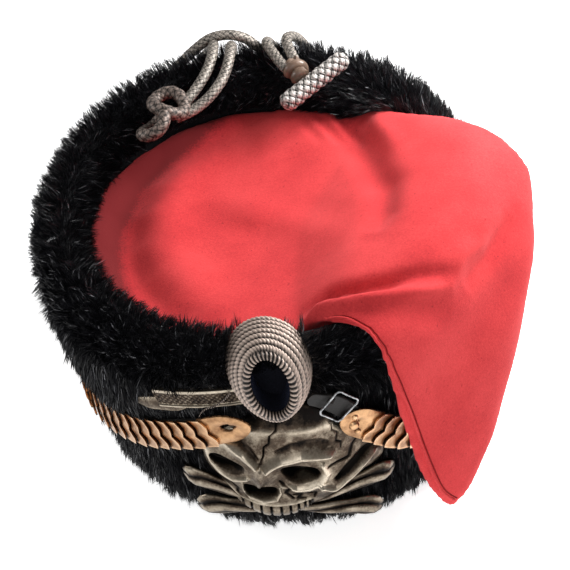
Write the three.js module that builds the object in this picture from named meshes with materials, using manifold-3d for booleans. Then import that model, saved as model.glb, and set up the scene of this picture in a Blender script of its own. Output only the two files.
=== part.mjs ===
// Hussar busby: fur cap with a hanging cloth bag, skull badge, scroll, corded
// field badge, chin scales with buckle, and a doubled cap line with its toggle.
// Millimetres, +Z up, the front of the cap faces -Y.
import * as THREE from 'three';
import { mergeVertices } from 'three/addons/utils/BufferGeometryUtils.js';
import Module from 'manifold-3d';

const wasm = await Module();
wasm.setup();

const CLEAR = 0.3; // gap kept between pieces that touch on the real cap
const CLOTH = 2.0; // wall of the cloth bag
const STRAP_WIDTH = 17;
const STRAP_THICK = 1.6;
const SCALE_WIDTH = 19;
const SCALE_METAL = 0.8;
const SCALE_PITCH = 8.3;
const SCALE_LIFT = 1.5; // free edge above the root, so one scale laps the next
const BADGE_METAL = 1.5;
const BADGE_SEAT = 112; // distance of the badges' seat from the cap's middle
const BADGE_BEND = 240; // the seat falls back by x squared over this
const LINE_DIAMETER = 6;
const LINE_SIDES = 8;
const SLIVER = 0.16; // faces nearer than this to their neighbours' plane are merged
const FUR_SLIVER = 0.4;
const STRAP_STEPS = 14;
const CORD_ROWS = 7; // rows of twisted cord round the field badge
const COCKADE = { x: -8, y: -103, z: 120.6, halfWide: 20, halfTall: 24.5, deep: 27 };
const COCKADE_TURN = { lean: 10, lookUp: 18 };
const SOCKET = { halfWide: 7.5, halfTall: 15, deep: 20 };
const LOCKS_ROUND = 40; // columns of fur locks round the cap
const COCKADE_SIDES = 16;
const SKULL_COLUMNS = 20;
const BONE_SIDES = 6;
const TURNED_SIDES = 12; // round pieces between two points
const SMALL_SIDES = 8;
const WIRE_SIDES = 6;

const MATERIALS = {
  fur: { color: 0x0b0b0d, roughness: 0.75, metalness: 0 },
  cloth: { color: 0xd8303a, roughness: 0.95, metalness: 0 },
  leather: { color: 0x15120f, roughness: 0.6, metalness: 0 },
  copper: { color: 0xc98f5e, roughness: 0.32, metalness: 1 },
  silver: { color: 0x9c9384, roughness: 0.35, metalness: 1 },
  cord: { color: 0x9d9286, roughness: 0.6, metalness: 0.2 },
  velvet: { color: 0x08090d, roughness: 1, metalness: 0 },
};

const vec = (x, y, z) => new THREE.Vector3(x, y, z);

// Closed body from rings of equal length; a wrapped body joins its last ring to
// its first, any other is closed by a fan at both ends.
function ringSolid(rings, wrapped = false) {
  const count = rings[0].length;
  const points = rings.flat();
  const faces = [];
  const last = wrapped ? rings.length : rings.length - 1;
  for (let i = 0; i < last; i++) {
    const a = i * count;
    const b = ((i + 1) % rings.length) * count;
    for (let j = 0; j < count; j++) {
      const k = (j + 1) % count;
      faces.push(a + j, a + k, b + k, a + j, b + k, b + j);
    }
  }
  if (!wrapped) {
    for (const [start, turned] of [[0, true], [(rings.length - 1) * count, false]]) {
      const middle = vec(0, 0, 0);
      for (let j = 0; j < count; j++) middle.addScaledVector(points[start + j], 1 / count);
      points.push(middle);
      for (let j = 0; j < count; j++) {
        const k = (j + 1) % count;
        const pair = turned ? [start + k, start + j] : [start + j, start + k];
        faces.push(pair[0], pair[1], points.length - 1);
      }
    }
  }
  return closedGeometry(points, faces);
}

function closedGeometry(points, faces) {
  let volume = 0;
  for (let i = 0; i < faces.length; i += 3) {
    const [a, b, c] = [points[faces[i]], points[faces[i + 1]], points[faces[i + 2]]];
    volume += a.dot(b.clone().cross(c));
  }
  if (volume < 0) faces.reverse();
  const geometry = new THREE.BufferGeometry();
  geometry.setAttribute('position', new THREE.Float32BufferAttribute(points.flatMap((p) => p.toArray()), 3));
  geometry.setIndex(faces);
  return geometry;
}

// Thin plate: a grid of outer points over a grid of inner points.
function plate(across, along, outer, inner) {
  const rings = [];
  for (let i = 0; i <= along; i++) {
    const top = [];
    const under = [];
    for (let j = 0; j <= across; j++) {
      top.push(outer(i / along, j / across));
      under.unshift(inner(i / along, j / across));
    }
    rings.push([...top, ...under]);
  }
  return stripEnds(rings, across);
}

// Body from flat rings of two rows each, with ends closed row against row.
function stripEnds(rings, across) {
  const count = rings[0].length;
  const points = rings.flat();
  const faces = [];
  for (let i = 0; i + 1 < rings.length; i++) {
    for (let j = 0; j < count; j++) {
      const [a, b] = [i * count, (i + 1) * count];
      const k = (j + 1) % count;
      faces.push(a + j, a + k, b + k, a + j, b + k, b + j);
    }
  }
  for (const [start, turned] of [[0, true], [(rings.length - 1) * count, false]]) {
    for (let j = 0; j < across; j++) {
      const quad = [start + j, start + j + 1, start + count - 2 - j, start + count - 1 - j];
      if (turned) quad.reverse();
      faces.push(quad[0], quad[1], quad[2], quad[0], quad[2], quad[3]);
    }
  }
  return closedGeometry(points, faces);
}

function mergedCopy(geometry) {
  const bare = geometry.clone();
  for (const name of ['normal', 'uv']) bare.deleteAttribute(name);
  return mergeVertices(bare, 1e-4);
}

function toSolid(geometry) {
  const merged = mergedCopy(geometry);
  return new wasm.Manifold(new wasm.Mesh({
    numProp: 3,
    vertProperties: new Float32Array(merged.attributes.position.array),
    triVerts: new Uint32Array(merged.index.array),
  }));
}

function toGeometry(solid) {
  const mesh = solid.getMesh();
  const geometry = new THREE.BufferGeometry();
  geometry.setAttribute('position', new THREE.Float32BufferAttribute(mesh.vertProperties, 3));
  geometry.setIndex([...mesh.triVerts]);
  return geometry;
}

// A cut can leave crumbs and slivers behind; the piece is the largest body.
function mainBody(solid, sliver = SLIVER) {
  const bodies = solid.decompose();
  return bodies.reduce((best, body) => (body.volume() > best.volume() ? body : best)).simplify(sliver);
}

const curveThrough = (rows) => new THREE.CatmullRomCurve3(rows.map((row) => vec(row.x, row.y, row.z)));

// Round tube along a curve, both ends closed.
function tube(curve, radius, steps, sides) {
  const ring = new THREE.Shape();
  ring.absarc(0, 0, radius, 0, Math.PI * 2);
  return new THREE.ExtrudeGeometry(ring, { extrudePath: curve, steps, curveSegments: sides / 2 });
}

// Outline of the fur: one row for each height, an oval about its own centre.
const FUR_RINGS = [
  { z: 0, cx: 7, cy: -1, rx: 102, ry: 103 },
  { z: 8, cx: 7, cy: -1, rx: 110, ry: 110 },
  { z: 20, cx: 6, cy: 0, rx: 114, ry: 114 },
  { z: 42, cx: 2.5, cy: 0, rx: 116, ry: 114.5 },
  { z: 68, cx: -1, cy: 0, rx: 118, ry: 116 },
  { z: 86, cx: -4, cy: 1, rx: 120, ry: 117 },
  { z: 118, cx: -6, cy: 2, rx: 121, ry: 119 },
  { z: 131, cx: -6, cy: 2, rx: 120, ry: 119 },
];

// Section of the wall above the last ring; drop is measured down from the crest.
const CREST_RINGS = [
  { drop: 3, cx: -6, cy: 2, rx: 114, ry: 114 },
  { drop: 0, cx: -6, cy: 2, rx: 105, ry: 106 },
  { drop: 4, cx: -7, cy: 0, rx: 95, ry: 97 },
  { drop: 14, cx: -8, cy: -2, rx: 90.4, ry: 92.4 },
];

const INNER_RINGS = [
  { z: 110.4, cx: -8, cy: -2, rx: 90.4, ry: 92.4 },
  { z: 110, cx: -3, cy: -1, rx: 84, ry: 90 },
  { z: 60, cx: 1, cy: 0, rx: 84, ry: 92 },
  { z: 0, cx: 6, cy: 0, rx: 83, ry: 93 },
];

// The fur stands highest at the back and lies low under the cloth on the right.
const CREST = { front: 143, backRise: 17, rightDrop: 4 };
const crestHeight = (angle) => CREST.front
  + CREST.backRise * Math.max(0, Math.sin(angle)) ** 0.8
  - CREST.rightDrop * Math.max(0, Math.cos(angle));

// The long hair swells out at the back on the right, above the cloth.
const SWELL = { angle: 0.75, spread: 0.45, out: 7, above: 100 };
const swell = (angle, z) => {
  const away = (angle - SWELL.angle) / SWELL.spread;
  return z < SWELL.above ? 0 : SWELL.out * Math.exp(-away * away);
};

const ovalPoint = (ring, angle, z, out = 0) => vec(
  ring.cx + (ring.rx + out) * Math.cos(angle),
  ring.cy + (ring.ry + out) * Math.sin(angle),
  z,
);

function furSkin(angle, z) {
  const rings = FUR_RINGS;
  const above = Math.max(1, rings.findIndex((ring) => ring.z >= z));
  const [low, high] = [rings[above - 1], rings[above]];
  const t = (z - low.z) / (high.z - low.z);
  const mix = (key) => low[key] + (high[key] - low[key]) * t;
  return { cx: mix('cx'), cy: mix('cy'), rx: mix('rx'), ry: mix('ry') };
}

// Wall of the fur body, hollow for the head, with rows of locks standing proud.
function furWall() {
  const columns = [];
  for (let i = 0; i < LOCKS_ROUND; i++) {
    const angle = (i / LOCKS_ROUND) * Math.PI * 2;
    const crest = crestHeight(angle);
    const column = FUR_RINGS.map((ring, row) => {
      const lock = row === 0 ? 0 : ((i + row) % 2 ? 1.5 : -1.5);
      return ovalPoint(ring, angle, ring.z, lock + swell(angle, ring.z));
    });
    CREST_RINGS.forEach((ring, row) => {
      const lock = row < 2 ? ((i + row) % 2 ? 1.2 : -1.2) : 0;
      const out = row < 2 ? lock + swell(angle, crest) : 0;
      column.push(ovalPoint(ring, angle, crest - ring.drop, out));
    });
    INNER_RINGS.forEach((ring) => column.push(ovalPoint(ring, angle, ring.z)));
    columns.push(column);
  }
  return ringSolid(columns, true);
}

// One pointed lock of hair that leaves the skin and bends down.
function furLock(angle, z, length, width) {
  const skin = furSkin(angle, z);
  const root = ovalPoint(skin, angle, z, -4);
  const out = vec(Math.cos(angle), Math.sin(angle), 0);
  const side = vec(-Math.sin(angle), Math.cos(angle), 0);
  const rows = [
    { along: 0, out: 0, wide: 1, thick: 3 },
    { along: 0.45, out: 6, wide: 0.8, thick: 2 },
    { along: 1, out: 7, wide: 0.08, thick: 0.4 },
  ];
  return ringSolid(rows.map((row) => {
    const middle = root.clone().addScaledVector(out, row.out);
    middle.z = Math.max(2.5, z - row.along * length);
    const half = row.wide * width / 2;
    return [[half, 0], [0, row.thick], [-half, 0], [0, -row.thick]].map(([a, b]) => (
      middle.clone().addScaledVector(side, a).addScaledVector(out, b)
    ));
  }));
}

// Rows of free locks round the cap: how many, their height, length and width.
const LOCK_ROWS = [
  { count: 12, z: 17, length: 12, width: 12, turn: 0.0 },
  { count: 8, z: 72, length: 18, width: 13, turn: 0.5 },
  { count: 9, z: 128, length: 18, width: 13, turn: 0.2 },
];

// Top cloth of the bag, sewn in along an oval and sunk like a shallow bowl on
// the left, where nothing holds it up.
const TOP_CLOTH = {
  cx: -8, cy: -2, rx: 90, ry: 92, foot: 111, open: 8, edge: 127, backRise: 2, rightRise: 12, sink: 9,
  round: 24,
};

function topClothHeight(angle, reach) {
  const { rx, edge, backRise, rightRise, sink } = TOP_CLOTH;
  const right = Math.cos(angle) * reach;
  const hollow = THREE.MathUtils.smoothstep(rx * (0.75 - right), 0, 100);
  return edge
    + backRise * Math.max(0, Math.sin(angle))
    + rightRise * Math.max(0, right) ** 1.5
    - sink * (1 - reach ** 2) * hollow;
}

function topCloth(inset) {
  const { cx, cy, rx, ry, round } = TOP_CLOTH;
  const foot = inset > 0 ? TOP_CLOTH.foot - TOP_CLOTH.open : TOP_CLOTH.foot;
  const ring = (share, height) => {
    const spots = [];
    for (let j = 0; j < round; j++) {
      const angle = (j / round) * Math.PI * 2;
      const [x, y] = [(rx - inset) * share * Math.cos(angle), (ry - inset) * share * Math.sin(angle)];
      spots.push(vec(cx + x, cy + y, height(angle)));
    }
    return spots;
  };
  const rings = [ring(1, () => foot)];
  for (const reach of [1, 0.93, 0.75, 0.5, 0.22]) {
    rings.push(ring(reach, (angle) => topClothHeight(angle, reach) - inset));
  }
  return toSolid(ringSolid(rings));
}

// Hanging end of the bag: a flat pouch that starts in the top cloth, crosses the
// crest on the right and hangs to its tip. Each row is a loop across it.
const POUCH_ROWS = [
  { front: [4, -82, 120], back: [36, 64, 122], middle: [14, -8, 119], thick: 8 },
  { front: [19, -97, 137], back: [56, 71, 134], middle: [56, -8, 139], thick: 10 },
  { front: [34, -106, 140], back: [79, 52, 144], middle: [81, -18, 148], thick: 12 },
  { front: [44, -114, 135], back: [103, 34, 151], middle: [97, -34, 150], thick: 13 },
  { front: [50, -119, 113], back: [122, 18, 152], middle: [107, -46, 139], thick: 13 },
  { front: [54, -121, 86], back: [136, -3, 145], middle: [111, -57, 120], thick: 13 },
  { front: [60, -123, 57], back: [134, -28, 120], middle: [111, -72, 97], thick: 13 },
  { front: [67, -123, 35], back: [121, -54, 83], middle: [105, -87, 67], thick: 12 },
  { front: [74, -121, 19], back: [105, -84, 48], middle: [96, -101, 38], thick: 10 },
  { front: [80, -119, 12], back: [91, -104, 25], middle: [87, -111, 20], thick: 6 },
];

const pouchCurves = Object.fromEntries(['front', 'back', 'middle'].map((side) => (
  [side, new THREE.CatmullRomCurve3(POUCH_ROWS.map((row) => vec(...row[side])), false, 'catmullrom', 0.4)]
)));

// Loop of the pouch at a place along it, each wall moved in by inset.
const POUCH_STEPS = 14;
const POUCH_HALF = 8; // points on each face of the pouch
function pouchLoop(place, inset) {
  const [front, back, middle] = ['front', 'back', 'middle'].map((side) => pouchCurves[side].getPoint(place));
  const spot = place * (POUCH_ROWS.length - 1);
  const row = Math.min(POUCH_ROWS.length - 2, Math.floor(spot));
  const thick = THREE.MathUtils.lerp(POUCH_ROWS[row].thick, POUCH_ROWS[row + 1].thick, spot - row);
  const centre = front.clone().add(back).multiplyScalar(0.5);
  const reach = front.clone().sub(centre);
  const travel = pouchCurves.middle.getTangent(place);
  const out = travel.cross(reach.clone().normalize()).normalize();
  const bow = middle.clone().sub(centre);
  const share = 1 - Math.min(0.7, (inset * 2) / reach.length());
  const loop = [];
  for (let j = 0; j < POUCH_HALF * 2; j++) {
    const turn = (j / POUCH_HALF) * Math.PI;
    const across = Math.cos(turn) * share;
    const swing = Math.sin(turn);
    loop.push(centre.clone()
      .addScaledVector(bow, 1 - across ** 2)
      .addScaledVector(reach, across)
      .addScaledVector(out, -Math.sign(swing) * (thick / 2 - inset) * Math.abs(swing) ** 0.7));
  }
  return loop;
}

function pouch(inset, steps) {
  const loops = [];
  for (let i = 0; i <= steps; i++) loops.push(pouchLoop(i / POUCH_STEPS, inset));
  return toSolid(ringSolid(loops));
}

// Whole form of the bag, grown or shrunk; the bag is its skin, open below. The
// hollow stops one step short of the tip.
const bagForm = (inset, steps) => topCloth(inset).add(pouch(inset, steps));
const bagBody = () => mainBody(bagForm(0, POUCH_STEPS).subtract(bagForm(CLOTH, POUCH_STEPS - 1)));
const bagSpace = () => bagForm(-CLEAR - 0.3, POUCH_STEPS);

// Place on the badges' seat at the front: x across, z up, h out from the seat.
const seatPoint = (x, z, h) => vec(x, -(BADGE_SEAT + h) + (x - 2) ** 2 / BADGE_BEND, z);

// Flat outline with finely cut edges, bent onto the badges' seat.
function seatPlate(outline, inner, outer) {
  const flat = outline.map(([x, z]) => new THREE.Vector2(x, z));
  if (THREE.ShapeUtils.isClockWise(flat)) flat.reverse();
  const lower = flat.map((spot) => seatPoint(spot.x, spot.y, inner));
  const upper = flat.map((spot) => seatPoint(spot.x, spot.y, outer));
  const faces = [];
  const count = flat.length;
  for (const cut of THREE.ShapeUtils.triangulateShape(flat, [])) {
    if (THREE.ShapeUtils.isClockWise(cut.map((i) => flat[i]))) cut.reverse();
    const [a, b, c] = cut;
    faces.push(c, b, a, count + a, count + b, count + c);
  }
  for (let j = 0; j < count; j++) {
    const k = (j + 1) % count;
    faces.push(j, k, count + k, j, count + k, count + j);
  }
  return closedGeometry([...lower, ...upper], faces);
}

// Outline of the skull without its lower jaw, seen from the front.
const SKULL_EDGE = [
  [-47, 62], [-45, 69], [-39, 78], [-22, 91], [-9, 99], [5, 100], [13, 96], [24, 80],
  [34, 69], [40, 62], [46, 52], [44, 46], [36, 42], [28, 34], [20, 28], [8, 24],
  [-4, 19], [-19, 18.5], [-28, 24], [-36, 34], [-40, 44], [-45, 52],
];

// Raised and sunken forms of the skull: place, half sizes, turn and height.
const SKULL_FORMS = [
  { x: -33, z: 76, wide: 13, tall: 4.5, turn: -14, high: 4 },
  { x: 2, z: 73, wide: 17, tall: 4.5, turn: 6, high: 4 },
  { x: -35, z: 58, wide: 8.5, tall: 8, turn: 10, high: -7 },
  { x: 3, z: 54.5, wide: 11, tall: 8.5, turn: -14, high: -8.5 },
  { x: -18.5, z: 45.5, wide: 8, tall: 6, turn: 0, high: -6 },
  { x: -18, z: 60, wide: 6, tall: 9, turn: 0, high: 2.5 },
  { x: 20, z: 46, wide: 9, tall: 6, turn: 50, high: 3 },
  { x: -14, z: 29, wide: 22, tall: 8, turn: -3, high: 3 },
  { x: -33, z: 83, wide: 16, tall: 9, turn: 37, high: -9 },
];

function skullHeight(x, z, rim) {
  let height = 2.2 + 10 * (1 - rim ** 2.6);
  for (const form of SKULL_FORMS) {
    const turn = THREE.MathUtils.degToRad(form.turn);
    const [dx, dz] = [x - form.x, z - form.z];
    const a = (dx * Math.cos(turn) + dz * Math.sin(turn)) / form.wide;
    const b = (dz * Math.cos(turn) - dx * Math.sin(turn)) / form.tall;
    height += form.high * Math.exp(-((a * a + b * b) ** 1.5)) * (1 - rim ** 8);
  }
  return Math.max(2.2, height);
}

const SKULL_MIDDLE = { x: -9, z: 56 };
const skullCurve = new THREE.CatmullRomCurve3(SKULL_EDGE.map(([x, z]) => vec(x, 0, z)), true);

function skullRings(steps, height) {
  const rings = [];
  for (const rim of steps) {
    const ring = [];
    for (let j = 0; j < SKULL_COLUMNS; j++) {
      const edge = skullCurve.getPointAt(j / SKULL_COLUMNS);
      const x = SKULL_MIDDLE.x + (edge.x - SKULL_MIDDLE.x) * rim;
      const z = SKULL_MIDDLE.z + (edge.z - SKULL_MIDDLE.z) * rim;
      ring.push(seatPoint(x, z, height(x, z, rim)));
    }
    rings.push(ring);
  }
  return rings;
}

// Stamped skull: a thin domed shell, open at the back.
function skullShell() {
  const steps = [0.12, 0.28, 0.44, 0.58, 0.72, 0.86, 1];
  const front = skullRings(steps, skullHeight);
  const back = skullRings(steps, (x, z, rim) => skullHeight(x, z, rim) - BADGE_METAL);
  return ringSolid([...back, ...front.reverse()]);
}

// Crossed bones behind the skull, from end to end, as x and z on the seat.
const BONES = [
  { from: [-57, 44], to: [42, 12] },
  { from: [49, 38], to: [-52, 21] },
];
const BONE_SHAPE = [
  { along: 0, wide: 3, deep: 2.4 }, { along: 0.02, wide: 6.2, deep: 3.6 }, { along: 0.07, wide: 7, deep: 4 },
  { along: 0.13, wide: 4.6, deep: 3.2 }, { along: 0.3, wide: 3.4, deep: 2.8 },
];

function bone(row) {
  const profile = [...BONE_SHAPE, ...BONE_SHAPE.map((end) => ({ ...end, along: 1 - end.along })).reverse()];
  return toSolid(ringSolid(profile.map((place) => {
    const x = row.from[0] + (row.to[0] - row.from[0]) * place.along;
    const z = row.from[1] + (row.to[1] - row.from[1]) * place.along;
    const ring = [];
    for (let j = 0; j < BONE_SIDES; j++) {
      const turn = (j / BONE_SIDES) * Math.PI * 2;
      ring.push(seatPoint(x, z + place.wide * Math.cos(turn), 4.2 + place.deep * Math.sin(turn)));
    }
    return ring;
  })));
}

const boneSpace = (row) => {
  const side = new THREE.Vector2(row.to[1] - row.from[1], row.from[0] - row.to[0]).setLength(8);
  const along = new THREE.Vector2(row.to[0] - row.from[0], row.to[1] - row.from[1]).setLength(2);
  const corner = (end, across, beyond) => [
    end[0] + side.x * across + along.x * beyond,
    end[1] + side.y * across + along.y * beyond,
  ];
  return toSolid(seatPlate([
    corner(row.from, -1, -1), corner(row.to, -1, 1), corner(row.to, 1, 1), corner(row.from, 1, -1),
  ], -0.5, 45));
};

function skullBadge() {
  return mainBody(BONES.reduce((solid, row) => solid.add(bone(row)), toSolid(skullShell())));
}

// Space in front of the seat inside an outline, for clearing the fur.
function seatSpace(outline, grow, deep = 45) {
  const spots = outline.map(([x, z]) => new THREE.Vector2(x, z));
  const middle = new THREE.Vector2();
  for (const spot of spots) middle.addScaledVector(spot, 1 / spots.length);
  const grown = spots.map((spot) => {
    const away = spot.sub(middle);
    return away.setLength(away.length() + grow).add(middle).toArray();
  });
  return toSolid(seatPlate(grown, -0.5, deep));
}

// Scroll ribbon left of the field badge, with its turned-under tail.
const RIBBON_STEPS = 7;
const SCROLL = { left: -69, right: -14, foot: 95, rise: 0.29, tall: 12, notch: 4 };
const SCROLL_TAIL = [
  [-77.5, 85], [-76, 90], [-70, 93], [-64, 94.8], [-58, 96],
  [-52, 96], [-52, 91.5], [-58, 87.5], [-65, 85], [-71, 84],
];

// Stretch of the ribbon between two heights above its rising middle line.
function ribbon(foot, head, inner, outer, from = SCROLL.left, to = SCROLL.right) {
  const place = (h) => (t, across) => {
    const high = foot + (head - foot) * across;
    const slant = (1 - across) * SCROLL.notch * (1 - t);
    const x = from + (to - from) * t + slant;
    return seatPoint(x, SCROLL.foot + (x - SCROLL.left) * SCROLL.rise + high, h);
  };
  return toSolid(plate(1, RIBBON_STEPS, place(outer), place(inner)));
}

function scrollBadge() {
  const half = SCROLL.tall / 2;
  let solid = ribbon(-half, half, 1.6, 3);
  solid = solid.add(toSolid(seatPlate(SCROLL_TAIL, 0.3, 1.9)));
  for (const [foot, head] of [[-half, -half + 1.2], [half - 2, half]]) {
    solid = solid.add(ribbon(foot, head, 2.5, 3.7));
  }
  return mainBody(solid);
}

// Frame of the field badge: its own axis looks forward, its long axis leans.
const cockadeAxes = (() => {
  const lean = THREE.MathUtils.degToRad(COCKADE_TURN.lean);
  const lookUp = THREE.MathUtils.degToRad(COCKADE_TURN.lookUp);
  const wide = vec(Math.cos(lean), 0, Math.sin(lean));
  const out = vec(0, -Math.cos(lookUp), Math.sin(lookUp));
  return { wide, out, tall: out.clone().cross(wide).normalize() };
})();

function cockadeRing(halfWide, halfTall, out) {
  const ring = [];
  for (let j = 0; j < COCKADE_SIDES; j++) {
    const turn = (j / COCKADE_SIDES) * Math.PI * 2;
    ring.push(vec(COCKADE.x, COCKADE.y, COCKADE.z)
      .addScaledVector(cockadeAxes.wide, halfWide * Math.cos(turn))
      .addScaledVector(cockadeAxes.tall, halfTall * Math.sin(turn))
      .addScaledVector(cockadeAxes.out, out));
  }
  return ring;
}

// Domed cup wound with rows of cord, its rim rounded over into the socket.
function cockadeBody() {
  const rings = [];
  const steps = CORD_ROWS * 2;
  for (let i = 0; i <= steps; i++) {
    const t = i / steps;
    const cord = i % 2 ? 0.9 : -0.3;
    const shrink = 5.5 * t ** 2.2;
    const [wide, tall] = [COCKADE.halfWide - shrink, COCKADE.halfTall - shrink * 0.6];
    rings.push(cockadeRing(wide + cord, tall + cord, COCKADE.deep * t));
  }
  const rim = [
    { wide: 4.6, tall: 5.0, out: 1.8 },
    { wide: 1.6, tall: 1.8, out: 1.2 },
    { wide: 0, tall: 0, out: -2.5 },
  ];
  for (const row of rim) {
    rings.push(cockadeRing(SOCKET.halfWide + row.wide, SOCKET.halfTall + row.tall, COCKADE.deep + row.out));
  }
  rings.push(cockadeRing(SOCKET.halfWide, SOCKET.halfTall, COCKADE.deep - SOCKET.deep));
  return ringSolid(rings);
}

// Velvet cup that lines the socket.
function cockadeLining() {
  const gap = CLEAR + 0.1;
  const wall = 1.2;
  const [front, back] = [COCKADE.deep - 3, COCKADE.deep - SOCKET.deep + gap];
  const row = (inset, out) => cockadeRing(SOCKET.halfWide - inset, SOCKET.halfTall - inset, out);
  return ringSolid([row(gap, back), row(gap, front), row(gap + wall, front), row(gap + wall, back + wall)]);
}

// Centre lines of the chin scales, from the hidden side boss to the front end.
const STRAP_ROWS = {
  left: [
    { x: -104, y: 30, z: 34 }, { x: -110, y: 8, z: 35 }, { x: -111, y: -14, z: 37 },
    { x: -107.5, y: -32, z: 41 }, { x: -101, y: -50, z: 46 }, { x: -91, y: -67, z: 52 },
    { x: -78, y: -82, z: 59 }, { x: -63, y: -95, z: 67 }, { x: -47, y: -106, z: 76 },
    { x: -34, y: -112.5, z: 83.5 }, { x: -20, y: -117.5, z: 90 },
  ],
  right: [
    { x: 106, y: 30, z: 34 }, { x: 112, y: 8, z: 34 }, { x: 112, y: -14, z: 34 },
    { x: 108, y: -36, z: 36 }, { x: 99, y: -58, z: 39 }, { x: 86, y: -77, z: 43 },
    { x: 71, y: -92, z: 49 }, { x: 56, y: -102.5, z: 58 }, { x: 46, y: -107.5, z: 67 },
    { x: 37, y: -111.5, z: 76 }, { x: 25, y: -115, z: 87 },
  ],
};

const PLATE_LENGTH = { left: 25, right: 21 };

function strapFrame(side) {
  const curve = curveThrough(STRAP_ROWS[side]);
  const length = curve.getLength();
  const point = (s, w, h) => {
    const u = THREE.MathUtils.clamp(s / length, 0, 1);
    const along = curve.getTangentAt(u);
    const spot = curve.getPointAt(u);
    const out = vec(spot.x - 2, spot.y, 0).normalize();
    out.addScaledVector(along, -out.dot(along)).normalize();
    const up = along.clone().cross(out).normalize();
    if (up.z < 0) up.negate();
    return spot.addScaledVector(up, w).addScaledVector(out, h).addScaledVector(along, s - u * length);
  };
  return { length, point };
}

const straps = { left: strapFrame('left'), right: strapFrame('right') };

function chinStrap(side) {
  const { length, point } = straps[side];
  const end = length - PLATE_LENGTH[side] + 3;
  const place = (h) => (t, across) => point(4 + (end - 4) * t, (across - 0.5) * STRAP_WIDTH, h);
  return plate(1, STRAP_STEPS, place(STRAP_THICK / 2), place(-STRAP_THICK / 2));
}

// The scales run from the boss to the end plate in even steps.
const FIRST_SCALE = 24.5;
function scaleSteps(side) {
  const run = straps[side].length - PLATE_LENGTH[side] - FIRST_SCALE;
  const count = Math.round(run / SCALE_PITCH);
  return { count, pitch: run / count };
}

// One scale: its free edge has two round lobes and laps over the next scale.
function chinScale(side, number) {
  const { point } = straps[side];
  const { pitch } = scaleSteps(side);
  const lobes = 2.4;
  const crown = 0.5;
  const floor = STRAP_THICK / 2 + CLEAR;
  const place = (h) => (t, across) => {
    const w = across * 2 - 1;
    const lobe = lobes * (1 - Math.abs(Math.abs(w) * 2 - 1)) - lobes / 2;
    const s = FIRST_SCALE + number * pitch + t * (pitch + 1.4) + lobe;
    return point(s, w * SCALE_WIDTH / 2, floor + h + SCALE_LIFT * t + crown * (1 - w * w));
  };
  return plate(4, 1, place(SCALE_METAL), place(0));
}

function endPlate(side) {
  const { length, point } = straps[side];
  const size = PLATE_LENGTH[side];
  const outline = new THREE.Shape();
  outline.moveTo(-2, -SCALE_WIDTH / 2);
  outline.lineTo(size * 0.45, -SCALE_WIDTH / 2);
  outline.quadraticCurveTo(size * 0.9, -SCALE_WIDTH * 0.4, size, -1.5);
  outline.quadraticCurveTo(size + 0.6, 0, size, 1.5);
  outline.quadraticCurveTo(size * 0.85, SCALE_WIDTH * 0.45, size * 0.45, SCALE_WIDTH / 2);
  outline.lineTo(-2, SCALE_WIDTH / 2);
  if (side === 'left') {
    const slot = new THREE.Path();
    slot.absellipse(size * 0.52, 1, 4.6, 1.7, 0, Math.PI * 2, true, 0.2);
    outline.holes.push(slot);
  }
  const floor = STRAP_THICK / 2 + CLEAR;
  const flat = { depth: SCALE_METAL, bevelEnabled: false, curveSegments: 5 };
  const merged = mergedCopy(new THREE.ExtrudeGeometry(outline, flat));
  const spots = [];
  for (let i = 0; i < merged.attributes.position.count; i++) {
    const { x: s, y: w, z: h } = vec(0, 0, 0).fromBufferAttribute(merged.attributes.position, i);
    const lift = 1.2 * THREE.MathUtils.clamp((s - 5) / size, 0, 1);
    spots.push(point(length - size + s, w, floor + h + lift));
  }
  return closedGeometry(spots, [...merged.index.array]);
}

// Domed head that closes the hidden end of each chin strap.
function sideBoss(side) {
  const { point } = straps[side];
  const rings = [];
  for (const [radius, h] of [[11, 1.2], [11.5, 2.4], [9, 4.6], [5, 6], [1, 6.4]]) {
    const ring = [];
    for (let j = 0; j < TURNED_SIDES; j++) {
      const turn = (j / TURNED_SIDES) * Math.PI * 2;
      ring.push(point(11 + radius * Math.cos(turn), radius * Math.sin(turn), h));
    }
    rings.push(ring);
  }
  return ringSolid(rings);
}

// Rivet head on the right end plate.
const RIVET_PLACE = 9;
function rivet() {
  const { length, point } = straps.right;
  const rings = [];
  for (const [radius, h] of [[2.6, 2.9], [2.8, 3.4], [1.9, 4.5], [0.5, 4.9]]) {
    const ring = [];
    for (let j = 0; j < SMALL_SIDES; j++) {
      const turn = (j / SMALL_SIDES) * Math.PI * 2;
      ring.push(point(length - RIVET_PLACE + radius * Math.cos(turn), -2 + radius * Math.sin(turn), h));
    }
    rings.push(ring);
  }
  return ringSolid(rings);
}

// Wire buckle beyond the right end plate: corners as x and z on the seat.
const BUCKLE_CORNERS = [[14, 97], [24.5, 110], [34.5, 99.5], [23.5, 88]];
const BUCKLE_HEIGHT = 8;
const WIRE_RADIUS = 0.8;
const CORNER_CUT = 1.4; // the wire turns each corner in a short slant

function buckleFrame() {
  const rings = [];
  BUCKLE_CORNERS.forEach(([x, z], i) => {
    const [px, pz] = BUCKLE_CORNERS[(i + 3) % 4];
    const [nx, nz] = BUCKLE_CORNERS[(i + 1) % 4];
    const before = new THREE.Vector2(px - x, pz - z).normalize();
    const after = new THREE.Vector2(nx - x, nz - z).normalize();
    for (const dir of [before, after]) {
      const away = new THREE.Vector2(-dir.y, dir.x).multiplyScalar(dir === before ? 1 : -1);
      const ring = [];
      for (let j = 0; j < WIRE_SIDES; j++) {
        const turn = (j / WIRE_SIDES) * Math.PI * 2;
        ring.push(seatPoint(
          x + dir.x * CORNER_CUT + away.x * WIRE_RADIUS * Math.cos(turn),
          z + dir.y * CORNER_CUT + away.y * WIRE_RADIUS * Math.cos(turn),
          BUCKLE_HEIGHT + WIRE_RADIUS * Math.sin(turn),
        ));
      }
      rings.push(ring);
    }
  });
  return ringSolid(rings, true);
}

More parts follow.
